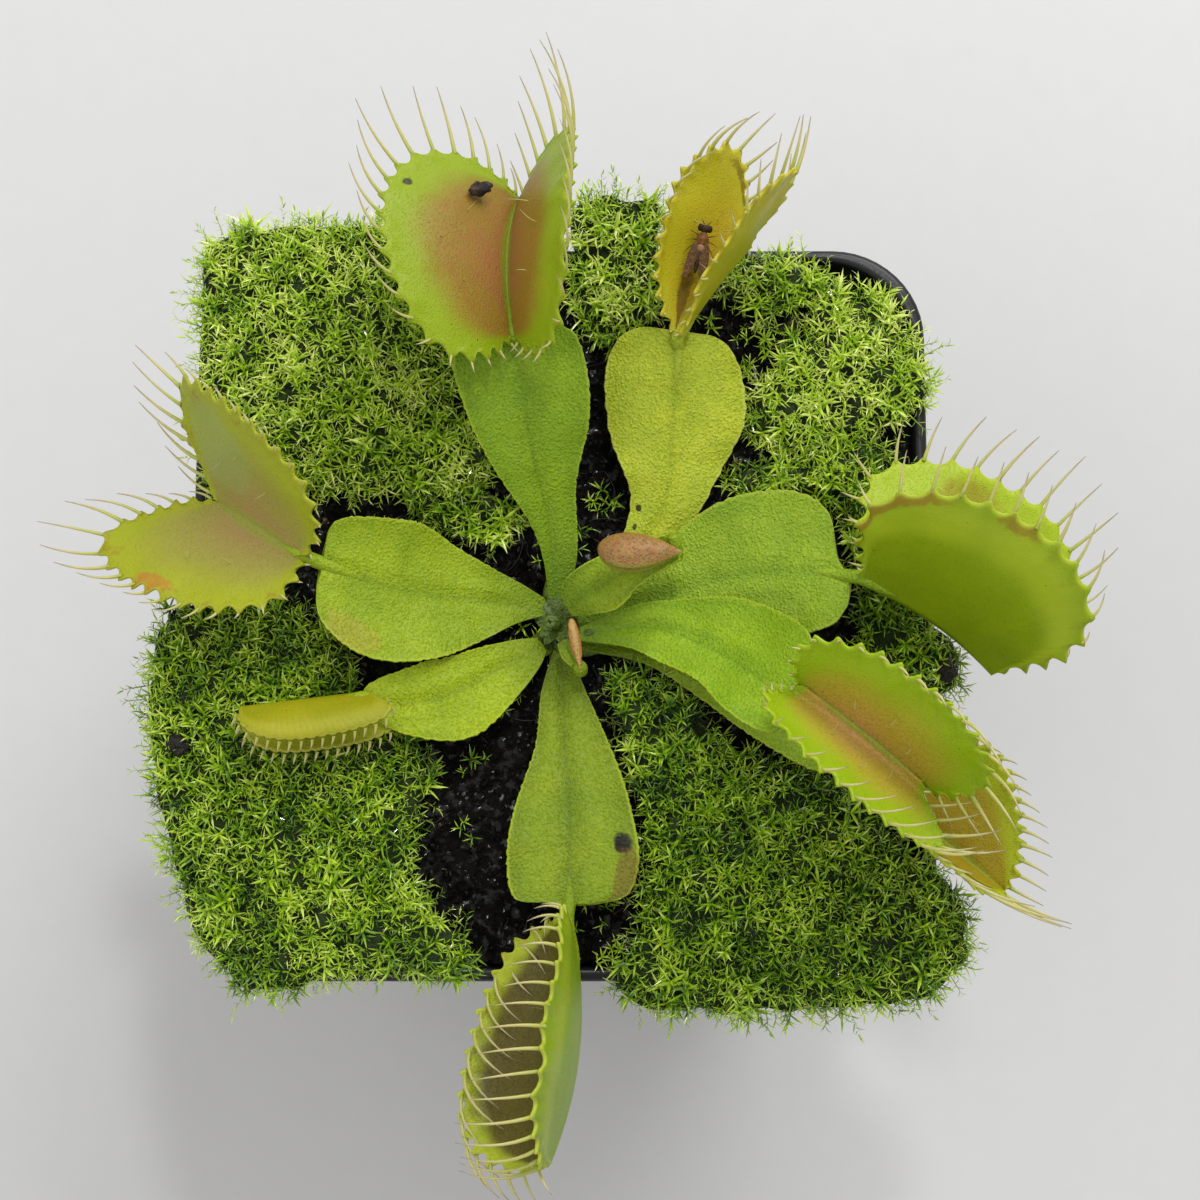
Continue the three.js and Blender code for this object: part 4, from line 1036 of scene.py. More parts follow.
def addTrap(shell, trap, seed):
    s = lobeShape | trap
    rows = trap["teeth"] * s["rowsPerTooth"] + 1
    angle, where, whole = evenRim(trap, rows)
    a, b = rimPoint(trap, angle)
    normal = rimNormal(trap, angle)
    pitch = whole / trap["teeth"]
    fromTooth = (where / pitch) % 1 - 0.5
    flare = s["flare"] * np.exp(-(fromTooth * pitch / s["flareWidth"]) ** 2)
    ends = smooth(where, 0, pitch) * smooth(whole - where, 0, pitch)
    push = (flare - s["scallop"] * np.cos(fromTooth * 2 * math.pi) ** 2) * ends
    foot = trap["length"] * where / whole
    part = np.linspace(0, 1, s["columns"] + 1)[1:] ** 1.1
    sides = {}
    for side in (1, -1):
        out = push[:, None] * part**14
        flatA = lerp(foot[:, None], a[:, None], part) + out * normal[:, :1]
        flatB = b[:, None] * part + out * normal[:, 1:]
        place, outward, inward = lobeFrame(trap, side, flatA, np.maximum(flatB, 0))
        flat = np.stack([flatA + 60 * side, flatB], -1)
        wave = s["waveHeight"] * ripple(flat, 7, seed + side) * part**2
        wave = wave + 0.02 * ripple(flat, 2.4, seed + 5 + side) * part
        curl = 0.4 + 0.6 * np.abs(fromTooth * 2)
        wave = wave + s["rimCurl"] * smooth(part, 0.86, 1.0) * curl[:, None]
        place = place + inward * (wave - s["rimCurl"] * 0.5 * part**6)[..., None]
        thick = lerp(s["ribThickness"], s["rimThickness"], smooth(part, 0, 0.5))[None, :, None]
        blend = np.exp(-(flatB / s["ribBlend"]) ** 2)[..., None]
        up = trapAxes(trap)[2]
        face = inward * thick / 2
        sides[side] = (
            place + lerp(face, up * s["ribRise"], blend),
            place + lerp(-face, -up * s["ribDrop"], blend),
            place[:, -1:] + outward[:, -1:] * 0.1,
        )
    middle = lobeFrame(trap, 1, foot, 0 * foot)[0][:, None]
    up = trapAxes(trap)[2]
    left, right = sides[1], sides[-1]
    rings = np.concatenate([
        left[0][:, ::-1], middle + up * s["ribRise"], right[0], right[2],
        right[1][:, ::-1], middle - up * s["ribDrop"], left[1], left[2],
    ], 1)

    def marks(height, inner):
        columns = np.broadcast_to(height, (rows, len(height)))
        share = np.broadcast_to((where / whole)[:, None], columns.shape)
        return np.stack([share, columns, np.full(columns.shape, inner)], -1)

    rib, rim = np.zeros(1), np.ones(1)
    place = np.concatenate([
        marks(part[::-1], 1), marks(rib, 1), marks(part, 1), marks(rim, 0.5),
        marks(part[::-1], 0), marks(rib, 0), marks(part, 0), marks(rim, 0.5),
    ], 1)
    count = s["columns"]
    lobe = [1.0] * count + [0.0] + [-1.0] * (2 * count + 1) + [0.0] + [1.0] * (count + 1)
    shell.loft(rings, 1, trapPlace=place, trapSide=np.broadcast_to(np.array(lobe), rings.shape[:2]))


# a closed band along a line. `wide` and `high` are its half sizes at each step and `bow` lifts its
# middle. Its finish reads `place`, or how far along and across it is where `fade` is given.
def addBand(shell, line, wide, high, bow=0.0, place=(0.9, 0.3, 0.6), fade=None, columns=20):
    turn = np.linspace(0, 2 * math.pi, columns, endpoint=False)[None]
    u = np.linspace(0, 1, len(wide))
    _, side, up = line.frame(u)
    lift = np.sin(turn) + bow * np.cos(turn) ** 2
    rings = line.at(u)[:, None] + (wide[:, None] * np.cos(turn))[..., None] * side[:, None]
    rings = rings + (high[:, None] * lift)[..., None] * up[:, None]
    if fade is not None:
        place = np.stack(np.broadcast_arrays(fade[:, None], np.cos(turn), np.ones((1, 1))), -1)
    shell.loft(rings, 0, leafPlace=np.broadcast_to(place, rings.shape))


# the thin stalk between a petiole and its trap starts under the end of the spine
stalk = {
    "from": [0.74, 0.84, 0.92, 0.98], "depths": [1.15, 1.0, 0.8, 0.55], "rows": 46, "columns": 14,
}


def addStalk(shell, leaf, far):
    near = Line(leaf["spine"]).at(stalk["from"])
    near[:, 2] -= stalk["depths"]
    u = np.linspace(0, 1, stalk["rows"])
    radius = 0.45 + 0.3 * smooth(u, 0, 0.5) - 0.2 * smooth(u, 0.8, 1.0)
    addBand(shell, Line([*near, *far]), radius, radius, columns=stalk["columns"])


# roots, handles and tips of a trap's teeth and of the trigger hairs inside it
def trapHairs(trap, seed):
    s = lobeShape | trap
    dice = np.random.default_rng(seed)
    rows = trap["teeth"] * s["rowsPerTooth"] + 1
    angles, where, whole = evenRim(trap, rows)
    picks = np.arange(trap["teeth"]) * s["rowsPerTooth"] + s["rowsPerTooth"] // 2
    angle = angles[picks]
    normal = rimNormal(trap, angle)
    part = angle / math.pi
    a, b = rimPoint(trap, angle)
    share = (s["aimShare"] * smooth(part, *s["aimRange"]))[:, None]
    roots, handles, tips, thick = [], [], [], []
    for lobe, side in enumerate((1, -1)):
        foot = a + 0.35 * normal[:, 0], b + 0.35 * normal[:, 1]
        root, outward, inward = lobeFrame(trap, side, *foot)
        tilt = np.radians(trap["toothTilt"][lobe] + dice.normal(0, 3.5, len(part)))[:, None]
        flat = trapAxes(trap)[0] * normal[:, :1] + outward * normal[:, 1:]
        free = flat * np.cos(tilt) + inward * np.sin(tilt)
        aim = unit(np.array(trap["toothAim"][lobe], float))
        heading = unit(lerp(free, aim, share) + dice.normal(0, 0.045, free.shape))
        growth = np.array(s["toothGrowth"][lobe], float)
        swell = np.interp(part, growth[:, 0], growth[:, 1])
        length = (trap["toothLength"][lobe] * swell * dice.uniform(0.88, 1.06, len(part)))[:, None]
        roots.append(root)
        handles.append(root + 0.5 * length * unit(lerp(flat, heading, 0.6)))
        tips.append(root + length * heading)
        thinned = 0.78 + 0.25 * np.minimum(swell, 1)
        thick.append(s["toothRadius"] * thinned * dice.uniform(0.9, 1.1, len(part)))
        if trap["width"] < 6:
            continue
        for along, height in s["hairs"]:
            spot = np.interp(along * whole, where, angles)
            rimA, rimB = rimPoint(trap, spot)
            flat = lerp(along * trap["length"], rimA, height), height * rimB
            place, outward, inward = lobeFrame(trap, side, *flat)
            drift = dice.normal(0, 0.25, 3)
            length = s["hairLength"] * dice.uniform(0.85, 1.2)
            roots.append(place[None])
            handles.append((place + inward * length * 0.5)[None])
            tips.append((place + (inward + drift) * length)[None])
            thick.append(np.array([s["hairRadius"]]))
    return [np.concatenate(group) for group in (roots, handles, tips, thick)]


podLook = {
    "steps": 54, "sides": 40, "point": 2.4, "blunt": 3.5, "rounding": 0.85, "drop": 0.3,
    "seamWidth": 0.26,
}

# colours of a young trap's body and of its margin
podTones = {
    "young": (tone(0.26, 0.11, 0.03), tone(0.30, 0.33, 0.03)),
    "bud": (tone(0.47, 0.17, 0.07), tone(0.44, 0.34, 0.08)),
}


# a young trap, still closed: a drop shape with a seam over its top
def addPod(shell, pod, seed):
    p = podLook
    axes = trapAxes(pod)
    u = np.linspace(0.004, 0.996, p["steps"])[:, None]
    turn = np.linspace(0, 2 * math.pi, p["sides"], endpoint=False)[None]
    swell = (1 - (1 - u) ** p["point"]) * np.sqrt(1 - u ** p["blunt"]) * 1.08
    fromSeam = np.abs(turn - math.pi)
    seam = np.exp(-(fromSeam / p["seamWidth"]) ** 2)
    full = 1 + pod["seam"] * (0.12 * np.exp(-((fromSeam - 0.46) / 0.2) ** 2) - 0.3 * seam)
    left = 0.5 * pod["thickness"] * swell * np.sin(turn) * full
    middle = 0.5 * pod["width"] * lerp(swell, 1, p["rounding"])
    rise = middle - 0.5 * pod["width"] * swell * np.cos(turn) * full - p["drop"]
    forward = pod["length"] * u + 0 * turn
    rings = np.array(pod["hinge"]) + np.stack([forward, left, rise], -1) @ axes
    rings = rings + 0.04 * ripple(rings, 1.1, seed)[..., None] * axes[1]
    place = np.broadcast_arrays(u, (1 - np.cos(turn)) / 2, seam * pod["seam"] * 2.2)
    shell.loft(rings, 1, podPlace=np.stack(place, -1))


def podFinish(name, body, margin):
    tree = newFinish(f"{name}_pod_skin")
    along, height, seam = tree.axes(tree.read("podPlace", "Vector"))
    fine = tree.grain(0.26, 3, 0.6)
    broad = tree.grain(2.2, 2)
    cells = tree.cells(0.3)
    colour = tree.paint(
        body,
        (broad.step(0.35, 0.65), scaled(body, 1.3, 1.25, 1.1)),
        (fine.step(0.42, 0.66) * 0.55, scaled(margin, 0.85, 0.75, 1.0)),
        (cells.step(0.34, 0.1) * 0.5, scaled(body, 0.4, 0.3, 0.4)),
        ((height + (broad - 0.5) * 0.2).step(0.87, 0.99) * 0.8, margin),
        (seam * 0.4, scaled(body, 0.35, 0.3, 0.4)),
        (along.step(0.1, 0.0) * 0.6, scaled(margin, 0.8, 0.9, 0.6)),
        (tree.cells(1.9).step(0.16, 0.1) * along.step(0.3, 0.15) * 0.85, tone(0.05, 0.015, 0.01)),
    )
    normal = tree.bump(cells.step(0.5, 0.1) * 0.8 + fine * 0.5, 0.08)
    return surface(tree, colour, 0.36 + fine * 0.2, normal, inside=(0.15, (1.0, 0.7, 0.3), 0.001))


def makeLeaves():
    horn = toothFinish()
    pieces = []
    for order, (name, leaf) in enumerate(leaves.items()):
        seed = 100 + 17 * order
        tones = leafTones[name]
        finishes = [petioleFinish(name, tones)]
        shell = Shell()
        addPetiole(shell, leaf, seed)
        trap = leaf.get("trap")
        if trap:
            ends = np.array([0, 0.12, 0.25]) * trap["length"]
            addStalk(shell, leaf, lobeFrame(trap, 1, ends, 0 * ends)[0])
            addTrap(shell, trap, seed + 3)
            finishes.append(trapFinish(name, tones))
        else:
            pod = leaf["pod"]
            addStalk(shell, leaf, [np.array(pod["hinge"]) + trapAxes(pod)[0] * 0.12 * pod["length"]])
            addPod(shell, pod, seed + 3)
            finishes.append(podFinish(name, *podTones[name]))
        piece = addPiece(f"{name}_leaf", shell.mesh(f"{name}_leaf", finishes))
        if trap:
            look = {"Segments": 7, "Sides": 7, "Taper": 0.8, "Finish": horn}
            growHairs(piece, trapHairs(trap, seed + 9), look)
        settle(piece, "leaf", f"leaf_{name}")
        pieces.append(piece)
    return pieces


# the pot. Its section runs from the middle of its underside up the outside, over the lip and down
# the inside. Foot and lip are [inset, height], the mouth is [inset, depth], and the rest are heights.
pot = {
    "height": 75, "baseHalf": 28, "wallTopHalf": 38.8, "lipHalf": 40, "lipHeight": 5, "mouthHalf": 38.6,
    "floorHalf": 27.1, "baseCorner": 6, "topCorner": 10, "cornerSteps": 12, "sideSteps": 10,
    "foot": [(15, 0.5), (3.2, 0.5), (2.6, 0.45), (2.2, 0), (0.5, 0), (0.12, 0.15), (-0.05, 0.6)],
    "wallLevels": [4, 12, 24, 36, 48, 58, 64, 68, 69.65],
    "lip": [
        (1.05, 0), (0.45, 0.15), (0.1, 0.4), (0, 0.8), (0, 2.4), (0, 4.3), (0.08, 4.65), (0.3, 4.9),
        (0.55, 5),
    ],
    "mouth": [(-0.35, 0), (-0.12, 0.12), (0, 0.4)],
    "innerLevels": [72, 70, 60, 45, 30, 15, 4, 1.9],
    "floor": [(0.4, 1.3), (1.2, 1.2), (14.284, 1.2)],
    "holeRadius": 3, "holeOffset": 16,
}


# a square with round corners, level at a height
def squareRing(half, corner, height):
    angle = np.linspace(0, math.pi / 2, pot["cornerSteps"] + 1)
    flat = np.linspace(half - corner, corner - half, pot["sideSteps"] + 1)[1:-1]
    x = np.concatenate([half - corner + corner * np.cos(angle), flat])
    y = np.concatenate([half - corner + corner * np.sin(angle), np.full(len(flat), half)])
    quarters = ((x, y), (-y, x), (-x, -y), (y, -x))
    return np.concatenate([np.column_stack([a, b, np.full(len(x), height)]) for a, b in quarters])


def cornerAt(height):
    return lerp(pot["baseCorner"], pot["topCorner"], height / pot["height"])


def outerHalf(height):
    return lerp(pot["baseHalf"], pot["wallTopHalf"], height / (pot["height"] - pot["lipHeight"]))


def innerHalf(height):
    return lerp(pot["floorHalf"], pot["mouthHalf"], height / pot["height"])


def potFinish():
    tree = newFinish("black_pot_plastic")
    cloud = tree.grain(14, 4)
    dust = tree.grain(2.5, 5, 0.7)
    scratches = tree.grain(1.4, 3, 0.6, tree.place((1, 1, 0.08)))
    level = tree.axes(tree.place())[2]
    grime = level.step(0.07, 0.0) * 0.35 + dust.step(0.55, 0.75) * 0.3
    colour = tree.mix(cloud, tone(0.008, 0.0085, 0.009), tone(0.014, 0.0145, 0.015))
    colour = tree.mix(grime * 0.4, colour, tone(0.05, 0.045, 0.038))
    roughness = 0.24 + cloud * 0.14 + scratches.step(0.5, 0.8) * 0.2 + grime * 0.3
    normal = tree.bump(scratches * 0.4 + tree.grain(0.5, 2) * 0.6, 0.02)
    return surface(tree, colour, roughness, normal, 0.3)


def makePot():
    p = pot
    lipStart = p["height"] - p["lipHeight"]
    section = [(p["baseHalf"] - inset, height) for inset, height in p["foot"]]
    section += [(outerHalf(height), height) for height in p["wallLevels"]]
    section += [(p["lipHalf"] - inset, lipStart + height) for inset, height in p["lip"]]
    section += [(p["mouthHalf"] - inset, p["height"] - depth) for inset, depth in p["mouth"]]
    section += [(innerHalf(height), height) for height in p["innerLevels"]]
    section += [(innerHalf(height) - inset, height) for inset, height in p["floor"]]
    shell = Shell()
    shell.loft([squareRing(half, cornerAt(height), height) for half, height in section])
    piece = addPiece("nursery_pot", shell.mesh("nursery_pot", [potFinish()]))

    drill = Shell()
    turn = np.linspace(0, 2 * math.pi, 32, endpoint=False)
    circle = p["holeRadius"] * np.stack([np.cos(turn), np.sin(turn), 0 * turn], 1)
    for x in (-1, 1):
        for y in (-1, 1):
            flat = circle + np.array([x, y, 0]) * p["holeOffset"]
            drill.loft([flat + [0, 0, -4], flat + [0, 0, 4]])
    cutter = addPiece("drill", drill.mesh("drill", []))
    cut = piece.modifiers.new("holes", "BOOLEAN")
    cut.object = cutter
    cut.solver = "EXACT"
    cut.operation = "DIFFERENCE"
    applyModifier(piece, cut)
    bpy.data.objects.remove(cutter)
    piece.data.shade_smooth()
    piece.data.set_sharp_from_angle(angle=math.radians(50))
    settle(piece, "pot", "pot")


# the peat in the pot, sunk round the crown and at the bare corner
soil = {
    "top": 74.35, "bumpHeight": 0.3, "bumpLength": 6, "crownSink": 1, "crownRadius": 9,
    "crown": (-0.5, -2.6), "cornerSink": 4.5, "cornerRadius": 13, "corner": (37, 37),
    "sideGap": 0.36, "bottom": 1.5, "gridHalf": 84, "clods": (0.95, 3.4), "grit": (0.6, 1.05),
    "fine": (0.3, 0.45), "rimLevel": 74.9,
}


def soilLevel(x, y):
    bump = np.sin(x / soil["bumpLength"] + 1) * np.cos(y / soil["bumpLength"])
    fromCrown = np.hypot(x - soil["crown"][0], y - soil["crown"][1])
    fromCorner = np.hypot(x - soil["corner"][0], y - soil["corner"][1])
    sink = soil["crownSink"] * (1 - smooth(fromCrown, 0.4 * soil["crownRadius"], soil["crownRadius"]))
    radius = soil["cornerRadius"]
    fall = soil["cornerSink"] * (1 - smooth(fromCorner, 0.3 * radius, radius))
    return soil["top"] + soil["bumpHeight"] * bump - sink - fall


def soilFinish():
    tree = newFinish("wet_peat")
    fine = tree.grain(0.5, 4, 0.7)
    clumps = tree.grain(2.2, 5, 0.65).step(0.35, 0.7)
    colour = tree.mix(clumps, tone(0.0016, 0.0015, 0.0012), tone(0.006, 0.0048, 0.0033))
    colour = tree.mix(fine.step(0.64, 0.8) * 0.4, colour, tone(0.022, 0.015, 0.009))
    wet = tree.grain(1.1, 3).step(0.5, 0.62)
    normal = tree.bump(tree.cells(0.8), 0.35, tree.bump(fine, 0.35))
    return surface(tree, colour, 0.6 - wet * 0.35, normal, 0.08, coat=(wet * 0.45, 0.14))


def makeSoil():
    s = soil
    half = s["gridHalf"]
    corner = cornerAt(s["top"]) - s["sideGap"]
    reach = innerHalf(s["top"]) - s["sideGap"]
    steps = np.arange(-half, half + 1) / half
    gx, gy = np.meshgrid(steps, steps, indexing="ij")

    # corners of the square grid are drawn in to the round corners of the pot
    far = np.maximum(np.abs(gx), np.abs(gy))
    ratio = np.where(far > 0, np.minimum(np.abs(gx), np.abs(gy)) / np.maximum(far, 1e-9), 0)
    straight = reach - corner
    slope = np.sqrt(1 + ratio**2)
    cosine, sine = 1 / slope, ratio / slope
    along = straight * (cosine + sine)
    radius = along + np.sqrt(np.maximum(along**2 - 2 * straight**2 + corner**2, 0))
    drawn = np.where(ratio > straight / reach, radius * cosine / reach, 1)
    x, y = gx * reach * drawn, gy * reach * drawn

    # clods, grit and fine grain, each with its height and length
    lumps = np.empty_like(x)
    clods, grit, fine = s["clods"], s["grit"], s["fine"]
    for spot in np.ndindex(x.shape):
        flat = Vector((x[spot], y[spot], 0))
        lumps[spot] = clods[0] * noise.fractal(flat / clods[1], 1.0, 2.0, 3)
        lumps[spot] += grit[0] * abs(noise.noise(flat / grit[1] + Vector((9, 0, 4))))
        lumps[spot] += fine[0] * noise.noise(flat / fine[1] + Vector((3, 5, 1)))
    z = soilLevel(x, y) + lumps
    z = np.where(far > 0.999, np.minimum(z, s["rimLevel"]), z)

    # the top, then sides that follow the pot's wall down, and the underside
    top = np.stack([x, y, z], -1).reshape(-1, 3)
    index = np.arange(len(top)).reshape(x.shape)
    quads = np.stack([index[:-1, :-1], index[1:, :-1], index[1:, 1:], index[:-1, 1:]], -1)
    loop = np.concatenate([index[:-1, 0], index[-1, :-1], index[:0:-1, -1], index[0, :0:-1]])
    edge = top[loop]
    points, faces = [top], quads.reshape(-1, 4).tolist()
    above, start = loop, len(top)
    for height in (66, 40, s["bottom"] + 1.5, s["bottom"]):
        shrink = (innerHalf(height) - s["sideGap"]) / reach
        points.append(np.column_stack([edge[:, :2] * shrink, np.full(len(edge), height)]))
        below = start + np.arange(len(loop))
        faces += np.stack([above, below, np.roll(below, -1), np.roll(above, -1)], 1).tolist()
        above, start = below, start + len(loop)
    points.append(np.array([[0, 0, s["bottom"]]]))
    faces += np.stack([above, np.full(len(loop), start), np.roll(above, -1)], 1).tolist()
    shell = Shell()
    shell.add(np.concatenate(points), faces)
    piece = addPiece("peat", shell.mesh("peat", [soilFinish()]))
    settle(piece, "peat", "soil")
    return piece


# cushions of moss: the crest of each, how high it stands, how light it is and its outline
cushions = {
    "northwest": {
        "crest": [-26, 28], "height": 2.6, "glow": 0.25,
        "outline": [
            [-38.6, 40.4], [-29, 42.2], [-18, 42], [-12, 40], [-11.5, 31.5], [-12, 22.5], [-8.5, 15.5],
            [-13, 12.3], [-26, 12.5], [-36, 11.5], [-38.6, 19], [-39.4, 31.5],
        ],
    },
    "north": {
        "crest": [6.2, 38], "height": 1.8, "glow": 0.27,
        "outline": [
            [1.5, 44.5], [6.5, 45.5], [10.5, 44.5], [10, 36], [9, 31.5], [5, 29], [3, 31], [1.5, 36],
        ],
    },
    "north_rim": {
        "crest": [24.5, 35.6], "height": 1.5, "glow": 0.23,
        "outline": [[19, 38], [25, 38.4], [30, 36.6], [29, 34], [24, 32.6], [18.5, 34]],
    },
    "northeast": {
        "crest": [31, 26], "height": 3.0, "glow": 0.27,
        "outline": [
            [29.4, 34.4], [34.4, 33.6], [38.8, 29], [39.6, 22.5], [34.5, 19.6], [26, 17.3],
            [21.5, 18.4], [21, 23.5], [25, 26.5], [27.5, 31.5],
        ],
    },
    "east": {
        "crest": [31.8, 14], "height": 1.8, "glow": 0.1,
        "outline": [
            [19.5, 14.5], [26, 16.2], [32.5, 18], [36, 13.5], [36, 7],
            [33.5, 3], [31.5, 5], [30.2, 11], [20.5, 12],
        ],
    },
    "east_rim": {
        "crest": [38, -4.5], "height": 1.6, "glow": 0.12,
        "outline": [[33, 0.5], [37.5, 0.8], [41.5, -4], [43, -8], [39.5, -9.7], [35, -7.5], [32.5, -4]],
    },
    "southeast": {
        "crest": [19, -29], "height": 1.7, "glow": 0.05,
        "outline": [
            [5.5, -8], [12.5, -9.5], [17, -14.5], [24.5, -18], [31.5, -21], [36, -26.5], [40.5, -29.5],
            [43, -35.5], [39.5, -41], [31.5, -42.5], [21, -43], [10.5, -42.5], [6, -40.5], [9, -33.5],
            [9, -27.5], [8.5, -20],
        ],
    },
    "southwest": {
        "crest": [-27, -28.5], "height": 2.3, "glow": 0.07,
        "outline": [
            [-40.5, 0], [-33.5, 0], [-26.5, -2], [-23, -6], [-20.5, -11.5],
            [-15, -15], [-14, -19], [-16, -24],
            [-15.5, -29.5], [-12.5, -33.8], [-9.5, -36], [-11, -39.5],
            [-16.5, -38.5], [-24, -39.5], [-31.5, -41],
            [-36, -38], [-39.5, -31.5], [-42.5, -21], [-44, -10.5], [-43, -3],
        ],
    },
    "centre": {
        "crest": [-10.5, 10], "height": 0.9, "glow": 0.15,
        "outline": [[-16, 10.6], [-12.5, 12], [-8, 12.6], [-5.5, 9], [-6.5, 6.8], [-11.5, 7.5]],
    },
}

mossShape = {
    "bottom": 75.25, "edgeHeight": 0.35, "roundness": 0.6, "rings": 22, "spacing": 0.54,
    "fringeSpacing": 0.85, "least": 0.35, "clumpLength": 4.2, "gapLength": 3.4, "gapLevel": -1.1,
    "edgeStep": 0.75, "tries": 9, "tall": 3.4,
}


def mossLevel(moss, part):
    m = mossShape
    dome = np.cos(math.pi / 2 * np.clip(part, 0, 1)) ** m["roundness"]
    return m["bottom"] + lerp(m["edgeHeight"], moss["height"] - 0.25, dome)


# one narrow closed leaflet with three sides that bends over towards its tip
def addLeaflet(shell, root, direction, length, width, droop, level):
    direction = np.asarray(direction, float)
    side = unit(np.cross(direction, [0.0, 0.0, 1.0]) + 1e-6)
    over = unit(np.cross(side, direction))
    points = []
    for part, wide in ((0, 0.65), (0.48, 1.0)):
        centre = root + direction * length * part - over * droop * length * part**2
        half = width * wide / 2
        points += [centre + side * half, centre + over * half * 0.6, centre - side * half]
    points.append(root + direction * length - over * droop * length)
    faces = [(k, (k + 1) % 3, 3 + (k + 1) % 3, 3 + k) for k in range(3)]
    faces += [(3 + k, 3 + (k + 1) % 3, 6) for k in range(3)] + [(2, 1, 0)]
    # `leaflet` and `level` feed the moss finish, which darkens low places as painted shade
    marks = np.array([0.0] * 3 + [0.5] * 3 + [1.0])
    shell.add(points, faces, 0, leaflet=marks, level=np.full(7, level))


# stem height, leaflets and their length and width, and the least and most that they lean, in degrees
sprigs = {
    "moss_a": (1.1, 6, 1.6, 0.27, 26, 68),
    "moss_b": (1.7, 6, 1.35, 0.24, 22, 62),
    "moss_c": (0.9, 7, 1.65, 0.25, 34, 76),
    "moss_d": (2.3, 6, 1.2, 0.21, 26, 64),
    "moss_e": (3.3, 7, 1.1, 0.2, 30, 62),
}


def makeSprig(name, seed):
    stem, leaflets, length, width, least, most = sprigs[name]
    dice = random.Random(seed)
    shell = Shell()
    addLeaflet(shell, np.array([0.0, 0, -0.5]), (0.02, 0.03, 1), stem + 0.7, width * 0.8, 0.03, 0.15)
    for k in range(leaflets):
        up = k / (leaflets - 1)
        turn = 2.4 * k + dice.uniform(-0.35, 0.35)
        lean = math.radians(lerp(most, least, up) + dice.uniform(-9, 9))
        direction = (math.sin(lean) * math.cos(turn), math.sin(lean) * math.sin(turn), math.cos(lean))
        size = length * dice.uniform(0.8, 1.15)
        root = np.array([0.0, 0, stem * lerp(0.3, 1.0, up)])
        addLeaflet(shell, root, direction, size, width, dice.uniform(0.12, 0.42), 0.35 + 0.65 * up)
    mesh = shell.mesh(name, [])
    mesh.polygons.foreach_set("use_smooth", [False] * len(mesh.polygons))
    return mesh


def makeShapes(name, meshes):
    group = bpy.data.collections.new(name)
    scene.collection.children.link(group)
    for mesh in meshes:
        group.objects.link(bpy.data.objects.new(mesh.name, mesh))
    return group


def dropShapes(group):
    for member in list(group.objects):
        bpy.data.objects.remove(member)
    bpy.data.collections.remove(group)


# keeps the points of a list that are at least this far from those kept before
def spaced(points, distance):
    taken, kept = {}, []
    for k, (x, y) in enumerate(points):
        cell = (int(x // distance), int(y // distance))
        around = (taken.get((cell[0] + i, cell[1] + j)) for i in (-1, 0, 1) for j in (-1, 0, 1))
        near = (math.dist((x, y), other) < distance for group in around if group for other in group)
        if not any(near):
            taken.setdefault(cell, []).append((x, y))
            kept.append(k)
    return np.array(kept, int)


def mossFinish():
    tree = newFinish("moss_leaflets")
    shade = tree.read("shade")
    patch = tree.grain(4.5, 3).step(0.32, 0.66)
    # painted shade: each leaflet darkens towards its base and low in its sprig, where shade falls between
    # sprigs; the paler tips are partly the moss's own colour, and a random tone per sprig and per patch
    # varies the rest
    light = tree.read("leaflet") * 0.36 + tree.read("level") * 0.34 + shade * 0.3 + patch * 0.34
    stops = [
        (0.0, tone(0.003, 0.016, 0.0005)), (0.22, tone(0.035, 0.11, 0.001)),
        (0.46, tone(0.19, 0.38, 0.003)),
        (0.72, tone(0.47, 0.68, 0.03)), (1.0, tone(0.80, 0.90, 0.22)),
    ]
    fac = {"Fac": light + tree.read("glow") - 0.34}
    colour = tree.paint(
        tree.node("ShaderNodeValToRGB", {"stops": stops}, fac),
        (tree.read("pale") * 0.7, tone(0.40, 0.46, 0.11)),
        (tree.grain(3.2, 2).step(0.68, 0.76) * 0.45, tone(0.30, 0.22, 0.05)),
    )
    normal = tree.bump(tree.grain(0.2), 0.02)
    coat = (shade.step(0.5, 0.85) * 0.9, 0.12)
    skin = (0.2, (0.6, 1.0, 0.1), 0.0008)
    return surface(tree, colour, 0.38 - shade * 0.2, normal, 0.45, coat, skin)


def moundFinish():
    tree = newFinish("moss_mat")
    fibres = tree.grain(0.5, 5, 0.7)
    # a dark mat, partly its own colour and partly painted shade in the gaps between the sprigs
    colour = tree.mix(fibres.step(0.3, 0.75), tone(0.006, 0.016, 0.001), tone(0.04, 0.085, 0.004))
    patch = tree.grain(3, 3).step(0.55, 0.75) * 0.6
    colour = tree.mix(patch, colour, tone(0.02, 0.014, 0.006))
    return surface(tree, colour, 0.8, tree.bump(fibres, 0.6))


def insidePot(x, y):
    return (np.abs(x) < 38.2) & (np.abs(y) < 38.2)


# what every sprig of a patch is grown with: how it stands, its size, its shape and its colour
def sprigValues(dice, direction, size, shape, pale, glow):
    count = len(size)
    return {
        "direction": unit(direction), "turn": dice.normal(size=(count, 3)), "size": size, "shape": shape,
        "shade": dice.uniform(0, 1, count), "pale": pale, "glow": np.full(count, glow),
    }


def addMound(shell, moss, edge, order):
    m = mossShape
    crest = np.array(moss["crest"], float)
    low = np.where(insidePot(edge[:, 0], edge[:, 1]), 74.4, 75.06)
    rings = [np.column_stack([crest + (edge - crest) * part, low]) for part in (0.4, 0.97)]
    for part in np.linspace(1, 0.02, m["rings"]):
        flat = crest + (edge - crest) * part
        rough = 0.5 * ripple(flat, 3.4, 60 + order) * min(1, (1 - part) * 6 + 0.3)
        rings.append(np.column_stack([flat, mossLevel(moss, part) + rough]))
    shell.loft(rings)


